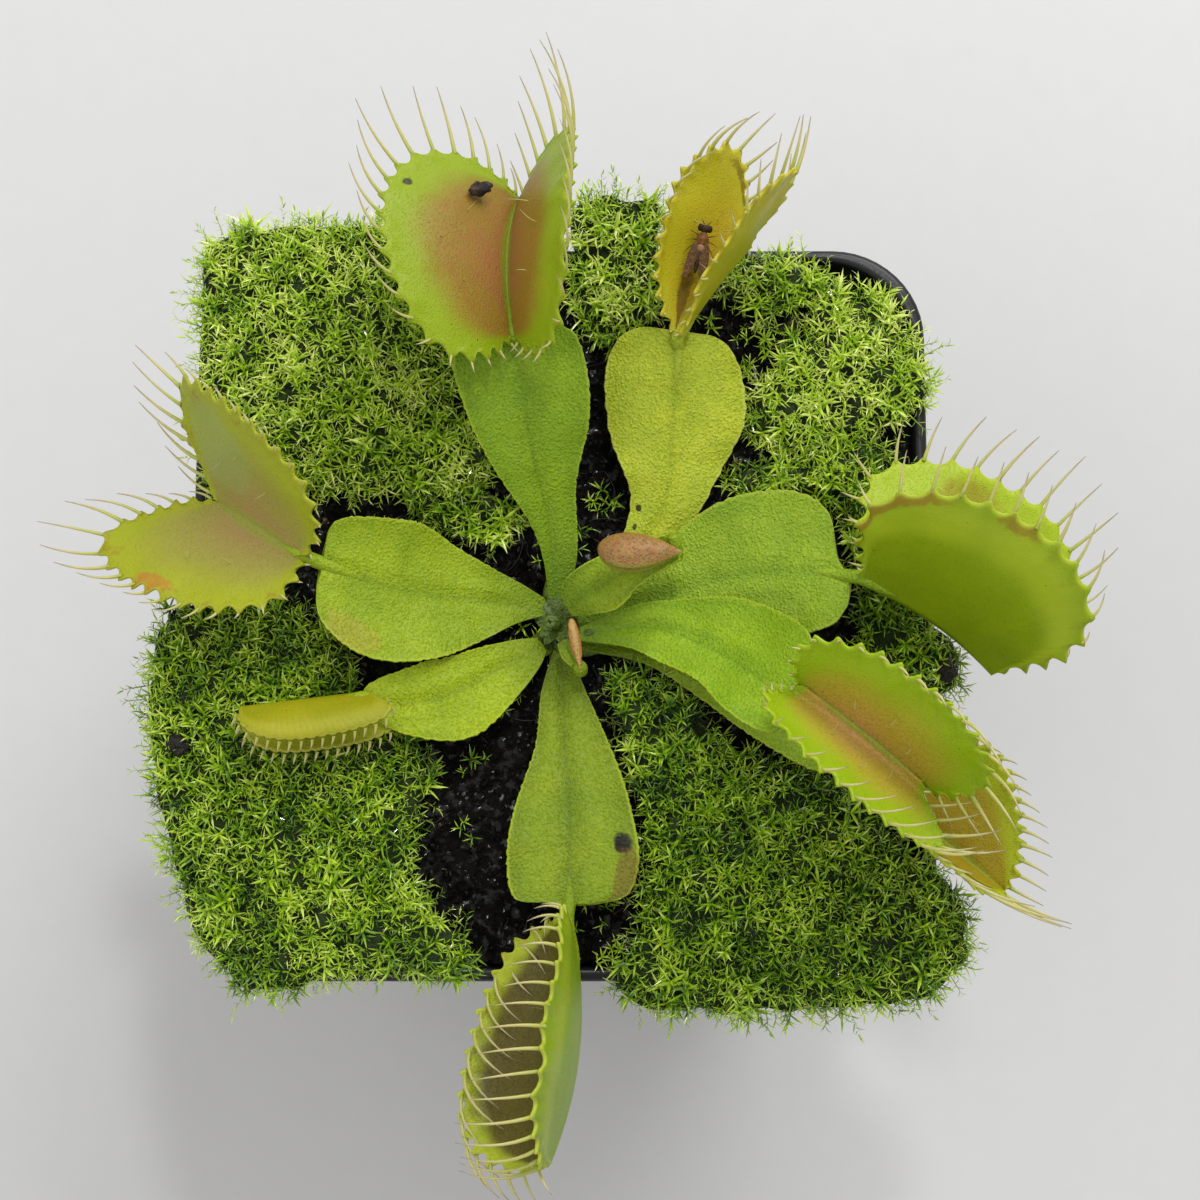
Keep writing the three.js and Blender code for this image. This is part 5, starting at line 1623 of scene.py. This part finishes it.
def makeMoss(roof):
    m = mossShape
    leaflets = mossFinish()
    mat = moundFinish()
    stars = makeShapes("moss_shapes", [makeSprig(name, k + 1) for k, name in enumerate(sprigs)])
    for order, (name, moss) in enumerate(cushions.items()):
        dice = np.random.default_rng(500 + order)
        line = Line([[x, y, 0] for x, y in moss["outline"]], "closed")
        columns = max(60, round(line.length / m["edgeStep"]))
        edge = line.at(np.arange(columns) / columns)[:, :2]
        crest = np.array(moss["crest"], float)
        edge = edge + 0.35 * ripple(edge, 4, 40 + order)[:, None] * unit(edge - crest)
        shell = Shell()
        addMound(shell, moss, edge, order)
        whole = f"moss_{name}_cushion"
        piece = addPiece(whole, shell.mesh(whole, [mat]))

        # sprigs all over the cushion, evenly spread
        nextEdge = np.roll(edge, -1, 0) - edge
        span = edge - crest
        weight = np.abs(span[:, 0] * nextEdge[:, 1] - span[:, 1] * nextEdge[:, 0])
        tries = int(weight.sum() / 2 * m["tries"])
        pick = dice.choice(columns, tries, p=weight / weight.sum())
        part = np.sqrt(dice.uniform(0, 1, tries))
        outer = edge[pick] + nextEdge[pick] * dice.uniform(0, 1, (tries, 1))
        flat = crest + (outer - crest) * part[:, None]
        kept = spaced(flat.tolist(), m["spacing"])
        flat, part = flat[kept], part[kept]
        covered = ripple(flat, m["gapLength"], 70 + order) > m["gapLevel"]
        flat, part = flat[covered], part[covered]
        lean = unit(flat - crest) * (0.12 + 0.7 * part[:, None] ** 5)
        place = np.column_stack([flat, mossLevel(moss, part) - 0.15])
        clump = 1 + 0.25 * ripple(flat, m["clumpLength"], 80 + order)
        size = dice.uniform(0.75, 1.2, len(flat)) * clump
        shape = dice.integers(0, 4, len(flat))

        # longer shoots that lean out over the edge
        where = dice.uniform(0, 1, int(line.length * m["tries"]))
        rim, heading = line.at(where)[:, :2], line.heading(where)
        away = np.column_stack([heading[:, 1], -heading[:, 0]])
        away = away * np.sign(((rim - crest) * away).sum(1))[:, None]
        rim = rim + away * dice.uniform(-1.0, 0.2, (len(rim), 1))
        chosen = spaced(rim.tolist(), m["fringeSpacing"])
        rim, away = rim[chosen], away[chosen]
        fringe = np.column_stack([rim, np.full(len(rim), m["bottom"] + 0.25)])
        points = np.vstack([place, fringe])
        tilt = np.vstack([lean, away * dice.uniform(0.8, 2.8, (len(rim), 1))])
        direction = np.column_stack([tilt + dice.normal(0, 0.38, tilt.shape), np.ones(len(tilt))])
        size = np.concatenate([size, dice.uniform(0.65, 1.2, len(rim))])
        shape = np.concatenate([shape, dice.integers(2, 5, len(rim))])
        pale = np.concatenate([np.zeros(len(flat)), dice.uniform(0, 0.8, len(rim))])
        room = np.array([roomAbove(roof, point) for point in points])
        size = np.minimum(size, room / m["tall"])
        good = size > m["least"]
        kept = [each[good] for each in (direction, size, shape, pale)]
        values = sprigValues(dice, *kept, moss["glow"])
        inputs = {"Shapes": stars, "Finish": leaflets, "Seed": 11 + order}
        joinInto(piece, grow(f"moss_{name}_sprigs", shapes, points[good], values, inputs))
        settle(piece, "moss", f"moss_{name}")
    makeStrays(roof, stars, leaflets)
    dropShapes(stars)


# young moss that stands alone on the bare peat: x, y, how far it spreads and how many sprigs
strays = [
    (-8.7, -16.2, 1.4, 4), (-10.9, -24.5, 1.2, 3), (-1.7, 6.6, 2.4, 10), (-4.5, -1.6, 2.6, 12),
    (-6.6, -9.0, 3.2, 20), (-14.2, 5.0, 2.6, 12), (4.4, 11.6, 1.8, 8),
    (4.0, -32, 1.8, 6), (0.2, -35.4, 2, 7),
    (4.3, -37.6, 2, 8), (-14.4, -31.6, 1.6, 5), (21.2, 29.8, 2.2, 14), (18.8, 13.8, 1.6, 8),
    (34.4, 18.6, 2.4, 12), (6.2, -25, 1.6, 3), (8.4, -10.4, 1.8, 10), (24.6, 28.6, 1.6, 10),
    (20.6, 25.2, 1.6, 9), (31.4, 36.2, 1.6, 5), (-30.2, 6.2, 2, 8),
    (-19.4, 8.6, 1.6, 8), (12.2, 30, 1.6, 8),
    (14.8, 33.6, 1.8, 10),
]


def makeStrays(roof, stars, leaflets):
    dice = np.random.default_rng(640)
    flat = [(x, y) + spread * 0.6 * dice.normal(size=(count, 2)) for x, y, spread, count in strays]
    flat = np.concatenate(flat)
    flat = flat[insidePot(flat[:, 0], flat[:, 1])]
    points = np.column_stack([flat, soilLevel(flat[:, 0], flat[:, 1]) + 0.1])
    room = np.array([roomAbove(roof, point) for point in points])
    size = np.minimum(dice.uniform(0.55, 1.0, len(points)), room / 3.2)
    good = size > mossShape["least"]
    tilt = dice.normal(0, 0.5, (len(points), 2))
    direction = np.column_stack([tilt, np.ones(len(points))])[good]
    count = good.sum()
    shape = dice.integers(0, 4, count)
    values = sprigValues(dice, direction, size[good], shape, np.zeros(count), 0.2)
    inputs = {"Shapes": stars, "Finish": leaflets}
    settle(grow("moss_strays", shapes, points[good], values, inputs), "moss")


def roomAbove(roof, point):
    hit = roof.ray_cast(Vector(point) * mm + Vector((0, 0, -0.0004)), Vector((0, 0, 1)))
    return 99 if hit[0] is None else hit[3] / mm


def roofOver(pieces):
    points, faces = [], []
    for piece in pieces:
        start = len(points)
        points += [vertex.co.copy() for vertex in piece.data.vertices]
        faces += [tuple(corner + start for corner in face.vertices) for face in piece.data.polygons]
    return BVHTree.FromPolygons(points, faces)


# loose bits on the peat
litter = {
    "crumbs": 4200, "crumbLeast": 0.15, "crumbMost": 0.6, "fibres": 190, "fibreLength": (1.2, 5.5),
    "fibreRadius": 0.045, "bare": 0.96, "half": 37.6, "highest": 77.5,
}

# the few lumps that stand out: where, half lengths, turn about Z, how many craggy bits and how far
# their bark is brown
lumps = {
    "crumb_on_trap": ([-8.3, 42.4, 88.4], [1.15, 0.75, 0.7], 20, 5, 0.45),
    "bark_chip": ([25.8, 31.6, 74.9], [1.9, 0.7, 0.5], 24, 2, 0.3),
    "peat_chunk": ([41.2, -7.3, 77.6], [1.0, 1.35, 0.8], 10, 4, 0.4),
    "peat_crumb": ([-40.4, -15.2, 77.5], [1.25, 1.05, 0.75], 0, 6, 0.0),
}


# how far places are out from the crest of the nearest cushion, 1 on its outline
def cushionShare(flat):
    least = np.full(len(flat), 9.0)
    for moss in cushions.values():
        crest = np.array(moss["crest"], float)
        edge = Line([[x, y, 0] for x, y in moss["outline"]], "closed").points[:, :2] - crest
        span = flat - crest
        turn = np.arctan2(edge[:, 1], edge[:, 0])
        order = np.argsort(turn)
        reach = np.hypot(edge[:, 0], edge[:, 1])[order]
        here = np.interp(np.arctan2(span[:, 1], span[:, 0]), turn[order], reach, period=2 * math.pi)
        least = np.minimum(least, np.hypot(span[:, 0], span[:, 1]) / here)
    return least


# an angular bit: the hull of a few points on an uneven ball
def makeBit(name, corners, flatness, seed):
    dice = np.random.default_rng(seed)
    around = unit(dice.normal(size=(corners, 3))) * dice.uniform(0.75, 1.1, (corners, 1))
    around = around * [1.0, lerp(1, 0.7, flatness), lerp(1, 0.45, flatness)]
    raw = bmesh.new()
    for place in around:
        raw.verts.new(place * mm)
    hull = bmesh.ops.convex_hull(raw, input=raw.verts)
    inner = set(hull["geom_interior"] + hull["geom_unused"])
    bmesh.ops.delete(raw, geom=list(inner), context="VERTS")
    bmesh.ops.recalc_face_normals(raw, faces=raw.faces)
    return meshFrom(raw, name)


def crumbFinish():
    tree = newFinish("peat_crumbs")
    shade = tree.read("shade")
    fine = tree.grain(0.35, 4, 0.7)
    colour = tree.paint(
        tone(0.0016, 0.0014, 0.0011),
        (fine.step(0.35, 0.7), tone(0.008, 0.0062, 0.004)),
        (shade.step(0.985, 0.998) * 0.9, tone(0.16, 0.085, 0.03)),
        ((shade - 0.85).size().step(0.06, 0.03) * 0.45, tone(0.022, 0.013, 0.007)),
    )
    coat = (shade.step(0.3, 0.8) * 0.5, 0.16)
    return surface(tree, colour, 0.5 - shade * 0.2, tree.bump(fine, 0.1), 0.1, coat)


def fibreFinish():
    tree = newFinish("peat_fibres")
    mixed = tree.grain(6, 2).step(0.45, 0.62)
    colour = tree.mix(mixed, tone(0.008, 0.006, 0.004), tone(0.05, 0.03, 0.014))
    return surface(tree, colour, 0.5, tree.bump(tree.grain(0.25), 0.03))


# bare places on the peat, with the height of its surface
def barePlaces(dice, count, peat):
    flat = dice.uniform(-litter["half"], litter["half"], (count * 7, 2))
    flat = flat[cushionShare(flat) > litter["bare"]][:count]
    ground = roofOver([peat])
    hits = [ground.ray_cast(Vector((x, y, 90)) * mm, Vector((0, 0, -1))) for x, y in flat]
    return np.array([hit[0] / mm for hit in hits if hit[0] is not None])


def makeLitter(peat):
    dice = np.random.default_rng(71)
    flatness = (0.1, 0.5, 0.9, 0.3)
    bits = makeShapes("peat_bits", [makeBit(f"bit_{k}", 11 + k, flatness[k], 30 + k) for k in range(4)])
    places = barePlaces(dice, litter["crumbs"], peat)
    count = len(places)
    size = lerp(litter["crumbLeast"], litter["crumbMost"], dice.uniform(0, 1, count) ** 2.4)
    size = np.minimum(size, (litter["highest"] - places[:, 2]) * 0.4)
    places[:, 2] += size * 0.25
    values = {
        "direction": unit(dice.normal(size=(count, 3))), "turn": dice.normal(size=(count, 3)),
        "size": size, "shape": dice.integers(0, 4, count), "shade": dice.uniform(0, 1, count),
    }
    look = {"Shapes": bits, "Finish": crumbFinish(), "Least Size": 0.9}
    piece = grow("peat_litter", shapes, places, values, look)
    dropShapes(bits)

    roots = barePlaces(dice, litter["fibres"], peat)
    count = len(roots)
    length = dice.uniform(*litter["fibreLength"], count)[:, None]
    turn = dice.uniform(0, 2 * math.pi, count)
    level = np.column_stack([np.cos(turn), np.sin(turn), 0 * turn])
    side = np.column_stack([-np.sin(turn), np.cos(turn), 0 * turn])
    sway = side * length * dice.normal(0, 0.22, (count, 1))
    handle = roots + level * length * 0.5 + sway + [0, 0, 0.7]
    tip = roots + level * length + [0, 0, 0.1]
    inside = insidePot(tip[:, 0], tip[:, 1]) & (cushionShare(tip[:, :2]) > 0.9)
    thick = litter["fibreRadius"] * dice.uniform(0.7, 1.6, count)
    look = {"Segments": 5, "Sides": 5, "Taper": 0.5, "Tip Share": 0.35, "Finish": fibreFinish()}
    growHairs(piece, [each[inside] for each in (roots, handle, tip, thick)], look)
    settle(piece, "peat")


def lumpFinish(name, brown):
    tree = newFinish(f"{name}_bark")
    fine = tree.grain(0.3, 5, 0.7)
    broad = tree.grain(1.2, 3)
    colour = tree.mix(fine.step(0.35, 0.68), tone(0.004, 0.003, 0.0022), tone(0.014, 0.0095, 0.006))
    colour = tree.mix(broad.step(0.45, 0.7) * brown, colour, tone(0.17, 0.085, 0.032))
    return surface(tree, colour, 0.6 - broad.step(0.4, 0.6) * 0.3, tree.bump(fine, 0.2), 0.4)


# a lump of a few craggy bits grown together
def makeLump(name, at, half, turn, bits, brown):
    dice = np.random.default_rng(len(name) * 7)
    raw = bmesh.new()
    turned = Matrix.Rotation(math.radians(turn), 3, "Z")
    for k in range(bits):
        planes = unit(dice.normal(size=(14, 3)))
        depths = dice.uniform(0.62, 1.0, 14)
        start = len(raw.verts)
        bmesh.ops.create_icosphere(raw, subdivisions=4, radius=1)
        raw.verts.ensure_lookup_table()
        share = 1.0 if k == 0 else dice.uniform(0.42, 0.62)
        shift = np.zeros(3) if k == 0 else unit(dice.normal(size=3)) * [0.72, 0.72, 0.45]
        for corner in raw.verts[start:]:
            way = np.array(corner.co)
            facing = planes @ way
            reach = (depths / np.maximum(facing, 0.05)).min()
            spot = Vector(way * 2.2 + 5 * k)
            reach = min(reach, 1.15) * (1 + 0.16 * noise.fractal(spot, 1.0, 2.0, 4))
            local = (way * reach * share + shift) * half
            corner.co = (turned @ Vector(local) + Vector(at)) * mm
    mesh = meshFrom(raw, f"{name}_bits")
    mesh.materials.append(lumpFinish(name, brown))
    mesh.shade_smooth()
    mesh.set_sharp_from_angle(angle=math.radians(38))
    settle(addPiece(f"{name}_bits", mesh), "bark", name)


# a fly: where its head and tail are, and its blobs by finish. Each is how far along it, its half
# sizes, how far across and up it is, and how round its ends are.
fly = {
    "head": [15.35, 38.75, 86.35], "tail": [14.2, 33.9, 85.9], "lift": [0.1, 0.1, 1.0],
    "body": [
        (0.15, (0.42, 0.62, 0.5)), (0.62, (0.25, 0.3, 0.28)), (3.1, (1.25, 0.52, 0.46), 0, -0.08, 0.6),
        (4.35, (0.7, 0.24, 0.2), 0, -0.12, 0.7),
    ],
    "eyes": [(0.12, (0.4, 0.3, 0.42), 0.5, 0.05), (0.12, (0.4, 0.3, 0.42), -0.5, 0.05)],
    "thorax": [(1.45, (0.95, 0.66, 0.62))],
    "shield": [(2.35, (0.42, 0.42, 0.3), 0, 0.32)],
    "wing": (4.4, 0.5, 0.07), "wingSpread": (7, -6), "legRadius": 0.065,
    "wingRoot": (1.5, 0.42, 0.34), "legs": [(0.95, 1.0, -0.5), (1.45, 1.25, 0.3), (1.95, 1.2, 1.3)],
    "feeler": [(-0.2, 0.18), (-0.6, 0.33), (-0.8, 0.58)],
}
flyTones = {
    "body": (tone(0.022, 0.012, 0.006), tone(0.09, 0.045, 0.018), 0.4),
    "eyes": (tone(0.014, 0.006, 0.004), tone(0.07, 0.026, 0.014), 0.22),
    "thorax": (tone(0.09, 0.035, 0.008), tone(0.28, 0.12, 0.03), 0.4),
    "shield": (tone(0.24, 0.13, 0.065), tone(0.42, 0.25, 0.14), 0.45),
    "wings": (tone(0.05, 0.022, 0.007), tone(0.2, 0.095, 0.03), 0.45),
}


def flyFinish(name, low, high, roughness):
    tree = newFinish(f"fly_{name}")
    fine = tree.grain(0.16, 4, 0.65)
    bands = (tree.axes(tree.place())[1] * 9000).wave() * 0.5 + 0.5
    colour = tree.mix(fine.step(0.35, 0.68), low, high)
    colour = tree.mix(bands * 0.35, colour, scaled(low, 0.6, 0.6, 0.6))
    return surface(tree, colour, roughness + fine * 0.2, tree.bump(fine, 0.05), 0.2)


# a rounded body along an axis. `at` is the place, the way along, sideways and up.
def addBlob(shell, at, finish, along, half, across=0.0, rise=0.0, power=0.5):
    origin, forward, side, up = at
    u = np.linspace(0.01, 0.99, 26)[:, None, None]
    turn = np.linspace(0, 2 * math.pi, 24, endpoint=False)[None, :, None]
    centre = origin + forward * (along + half[0] * (2 * u - 1)) + side * across + up * rise
    fullness = (4 * u * (1 - u)) ** power
    rings = centre + fullness * (side * half[1] * np.cos(turn) + up * half[2] * np.sin(turn))
    shell.loft(rings, finish)


def makeFly():
    head, tail = np.array(fly["head"]), np.array(fly["tail"])
    forward = unit(tail - head)
    up = np.array(fly["lift"])
    up = unit(up - forward * (up @ forward))
    side = np.cross(forward, up)

    def spot(along, across, rise):
        return head + forward * along + side * across + up * rise

    shell = Shell()
    for finish, part in enumerate(("body", "eyes", "thorax", "shield")):
        for blob in fly[part]:
            addBlob(shell, (head, forward, side, up), finish, *blob)
    length, width, thick = fly["wing"]
    hairs = []
    for turn, spread in zip((1, -1), fly["wingSpread"]):
        angle = math.radians(spread)
        out = forward * math.cos(angle) + side * math.sin(angle)
        along, across, rise = fly["wingRoot"]
        root = (spot(along, across * turn, rise), out, np.cross(up, out), up)
        addBlob(shell, root, 4, length / 2, (length / 2, width, thick), power=0.42)
        for start, reach, back in fly["legs"]:
            knee = spot(start + 0.2 * back, (0.5 + 0.55 * reach) * turn, 0.3)
            tip = spot(start + back, (0.5 + reach) * turn, -0.5)
            hairs.append((spot(start, 0.5 * turn, -0.15), knee, tip))
        hairs.append([spot(along, across * turn, 0.1) for along, across in fly["feeler"]])
    finishes = [flyFinish(name, *look) for name, look in flyTones.items()]
    piece = addPiece("trapped_fly", shell.mesh("trapped_fly", finishes))
    hairs = [*np.transpose(hairs, (1, 0, 2)), np.full(len(hairs), fly["legRadius"])]
    growHairs(piece, hairs, {"Segments": 6, "Sides": 6, "Finish": finishes[0]})
    settle(piece, "insect", "captured_fly")


# the crown: clasping bases of the petioles, scales between them and a coiled bud in the middle
crown = {
    "centre": [-0.5, -2.6], "depth": 74.3, "sheath": (0.75, 1.35), "sheathDrop": 0.55, "sheathRows": 24,
    "scales": 9, "scaleFoot": 75.2, "scaleReach": (1.7, 2.5), "scaleRows": 18,
    "coilAt": [-1.0, -2.5, 79.6], "coil": 0.62, "coilTube": 0.34, "turns": 1.35, "coilRows": 130,
}


def crownFinish():
    tree = newFinish("crown_scales")
    along, across, _ = tree.axes(tree.read("leafPlace", "Vector"))
    fine = tree.grain(0.35, 4, 0.6)
    colour = tree.paint(
        tone(0.045, 0.085, 0.003),
        (fine.step(0.35, 0.7), tone(0.10, 0.16, 0.008)),
        # painted shade: the sheaths and scales darken as they go down into the crown
        (along.step(0.55, 1.0) * 0.7, tone(0.02, 0.024, 0.005)),
        (across.size().step(0.85, 1.0) * 0.4, tone(0.16, 0.2, 0.03)),
    )
    normal = tree.bump(tree.cells(0.3).step(0.5, 0.1) + fine * 0.4, 0.1)
    return surface(tree, colour, 0.4 + fine * 0.2, normal)


def makeCrown():
    c = crown
    centre = np.array([*c["centre"], c["depth"]])
    shell = Shell()
    u = np.linspace(0, 1, c["sheathRows"])
    wide = lerp(*c["sheath"], smooth(u, 0.1, 0.5))
    high = 0.34 + 0.2 * smooth(u, 0, 0.6)
    for leaf in leaves.values():
        if "trap" in leaf:
            first, second = Line(leaf["spine"]).at([0.13, 0.03])
            drop = np.array([0, 0, c["sheathDrop"]])
            inward = (second - centre) * [1, 1, 0]
            low = centre + inward * 0.55 + [0, 0, 0.6]
            line = Line([first - drop, second - drop, low, centre + inward * 0.2])
            addBand(shell, line, wide, high, -0.35, fade=u)

    dice = np.random.default_rng(4)
    base = np.array([*c["centre"], c["scaleFoot"]])
    u = np.linspace(0, 1, c["scaleRows"])
    wide = 0.85 * (1 - u**2.2) ** 0.6 + 0.05
    for k in range(c["scales"]):
        way = math.radians(40 * k + dice.uniform(-12, 12))
        out = np.array([math.cos(way), math.sin(way), 0])
        reach = dice.uniform(*c["scaleReach"])
        middle, tip = base + out * 0.5 + [0, 0, 1.3], base + out * reach + [0, 0, 2.2]
        line = Line([base - [0, 0, 1], middle, tip])
        addBand(shell, line, wide, 0.16 + 0 * u, 1.2, fade=1 - u)

    # the coil, with the stem that carries it
    u = np.linspace(0, 1, 70)
    angle = 2 * math.pi * c["turns"] * u
    radius = c["coil"] * (1 - 0.72 * u)
    coil = np.column_stack([radius * np.cos(angle), radius * np.sin(angle), 0.35 * u]) + c["coilAt"]
    stem = np.linspace([*c["centre"], 75.0], coil[0] - [0, 0, 0.5], 12)[:-1]
    path = Line(np.vstack([stem, coil]))
    u = np.linspace(0, 1, c["coilRows"])
    turn = np.linspace(0, 2 * math.pi, 20, endpoint=False)[None]
    forward = path.heading(u)
    side = unit(np.cross(forward, [0.3, 0.2, 1.0]))
    upward = np.cross(side, forward)
    tube = (c["coilTube"] * (1.25 - 0.5 * u))[:, None, None]
    ring = np.cos(turn)[..., None] * side[:, None] + np.sin(turn)[..., None] * upward[:, None]
    rings = path.at(u)[:, None] + tube * ring
    shell.loft(rings, 0, leafPlace=np.broadcast_to([0.2, 0.9, 1.0], rings.shape))
    settle(addPiece("crown_heart", shell.mesh("crown_heart", [crownFinish()])), "leaf", "crown")


makeStage()
print("stage ready")
leafPieces = makeLeaves()
makeCrown()
makeFly()
print("leaves, crown and fly ready")
makePot()
makeLitter(makeSoil())
for name, lump in lumps.items():
    makeLump(name, *lump)
print("pot and peat ready")
makeMoss(roofOver(leafPieces))
print("moss ready")
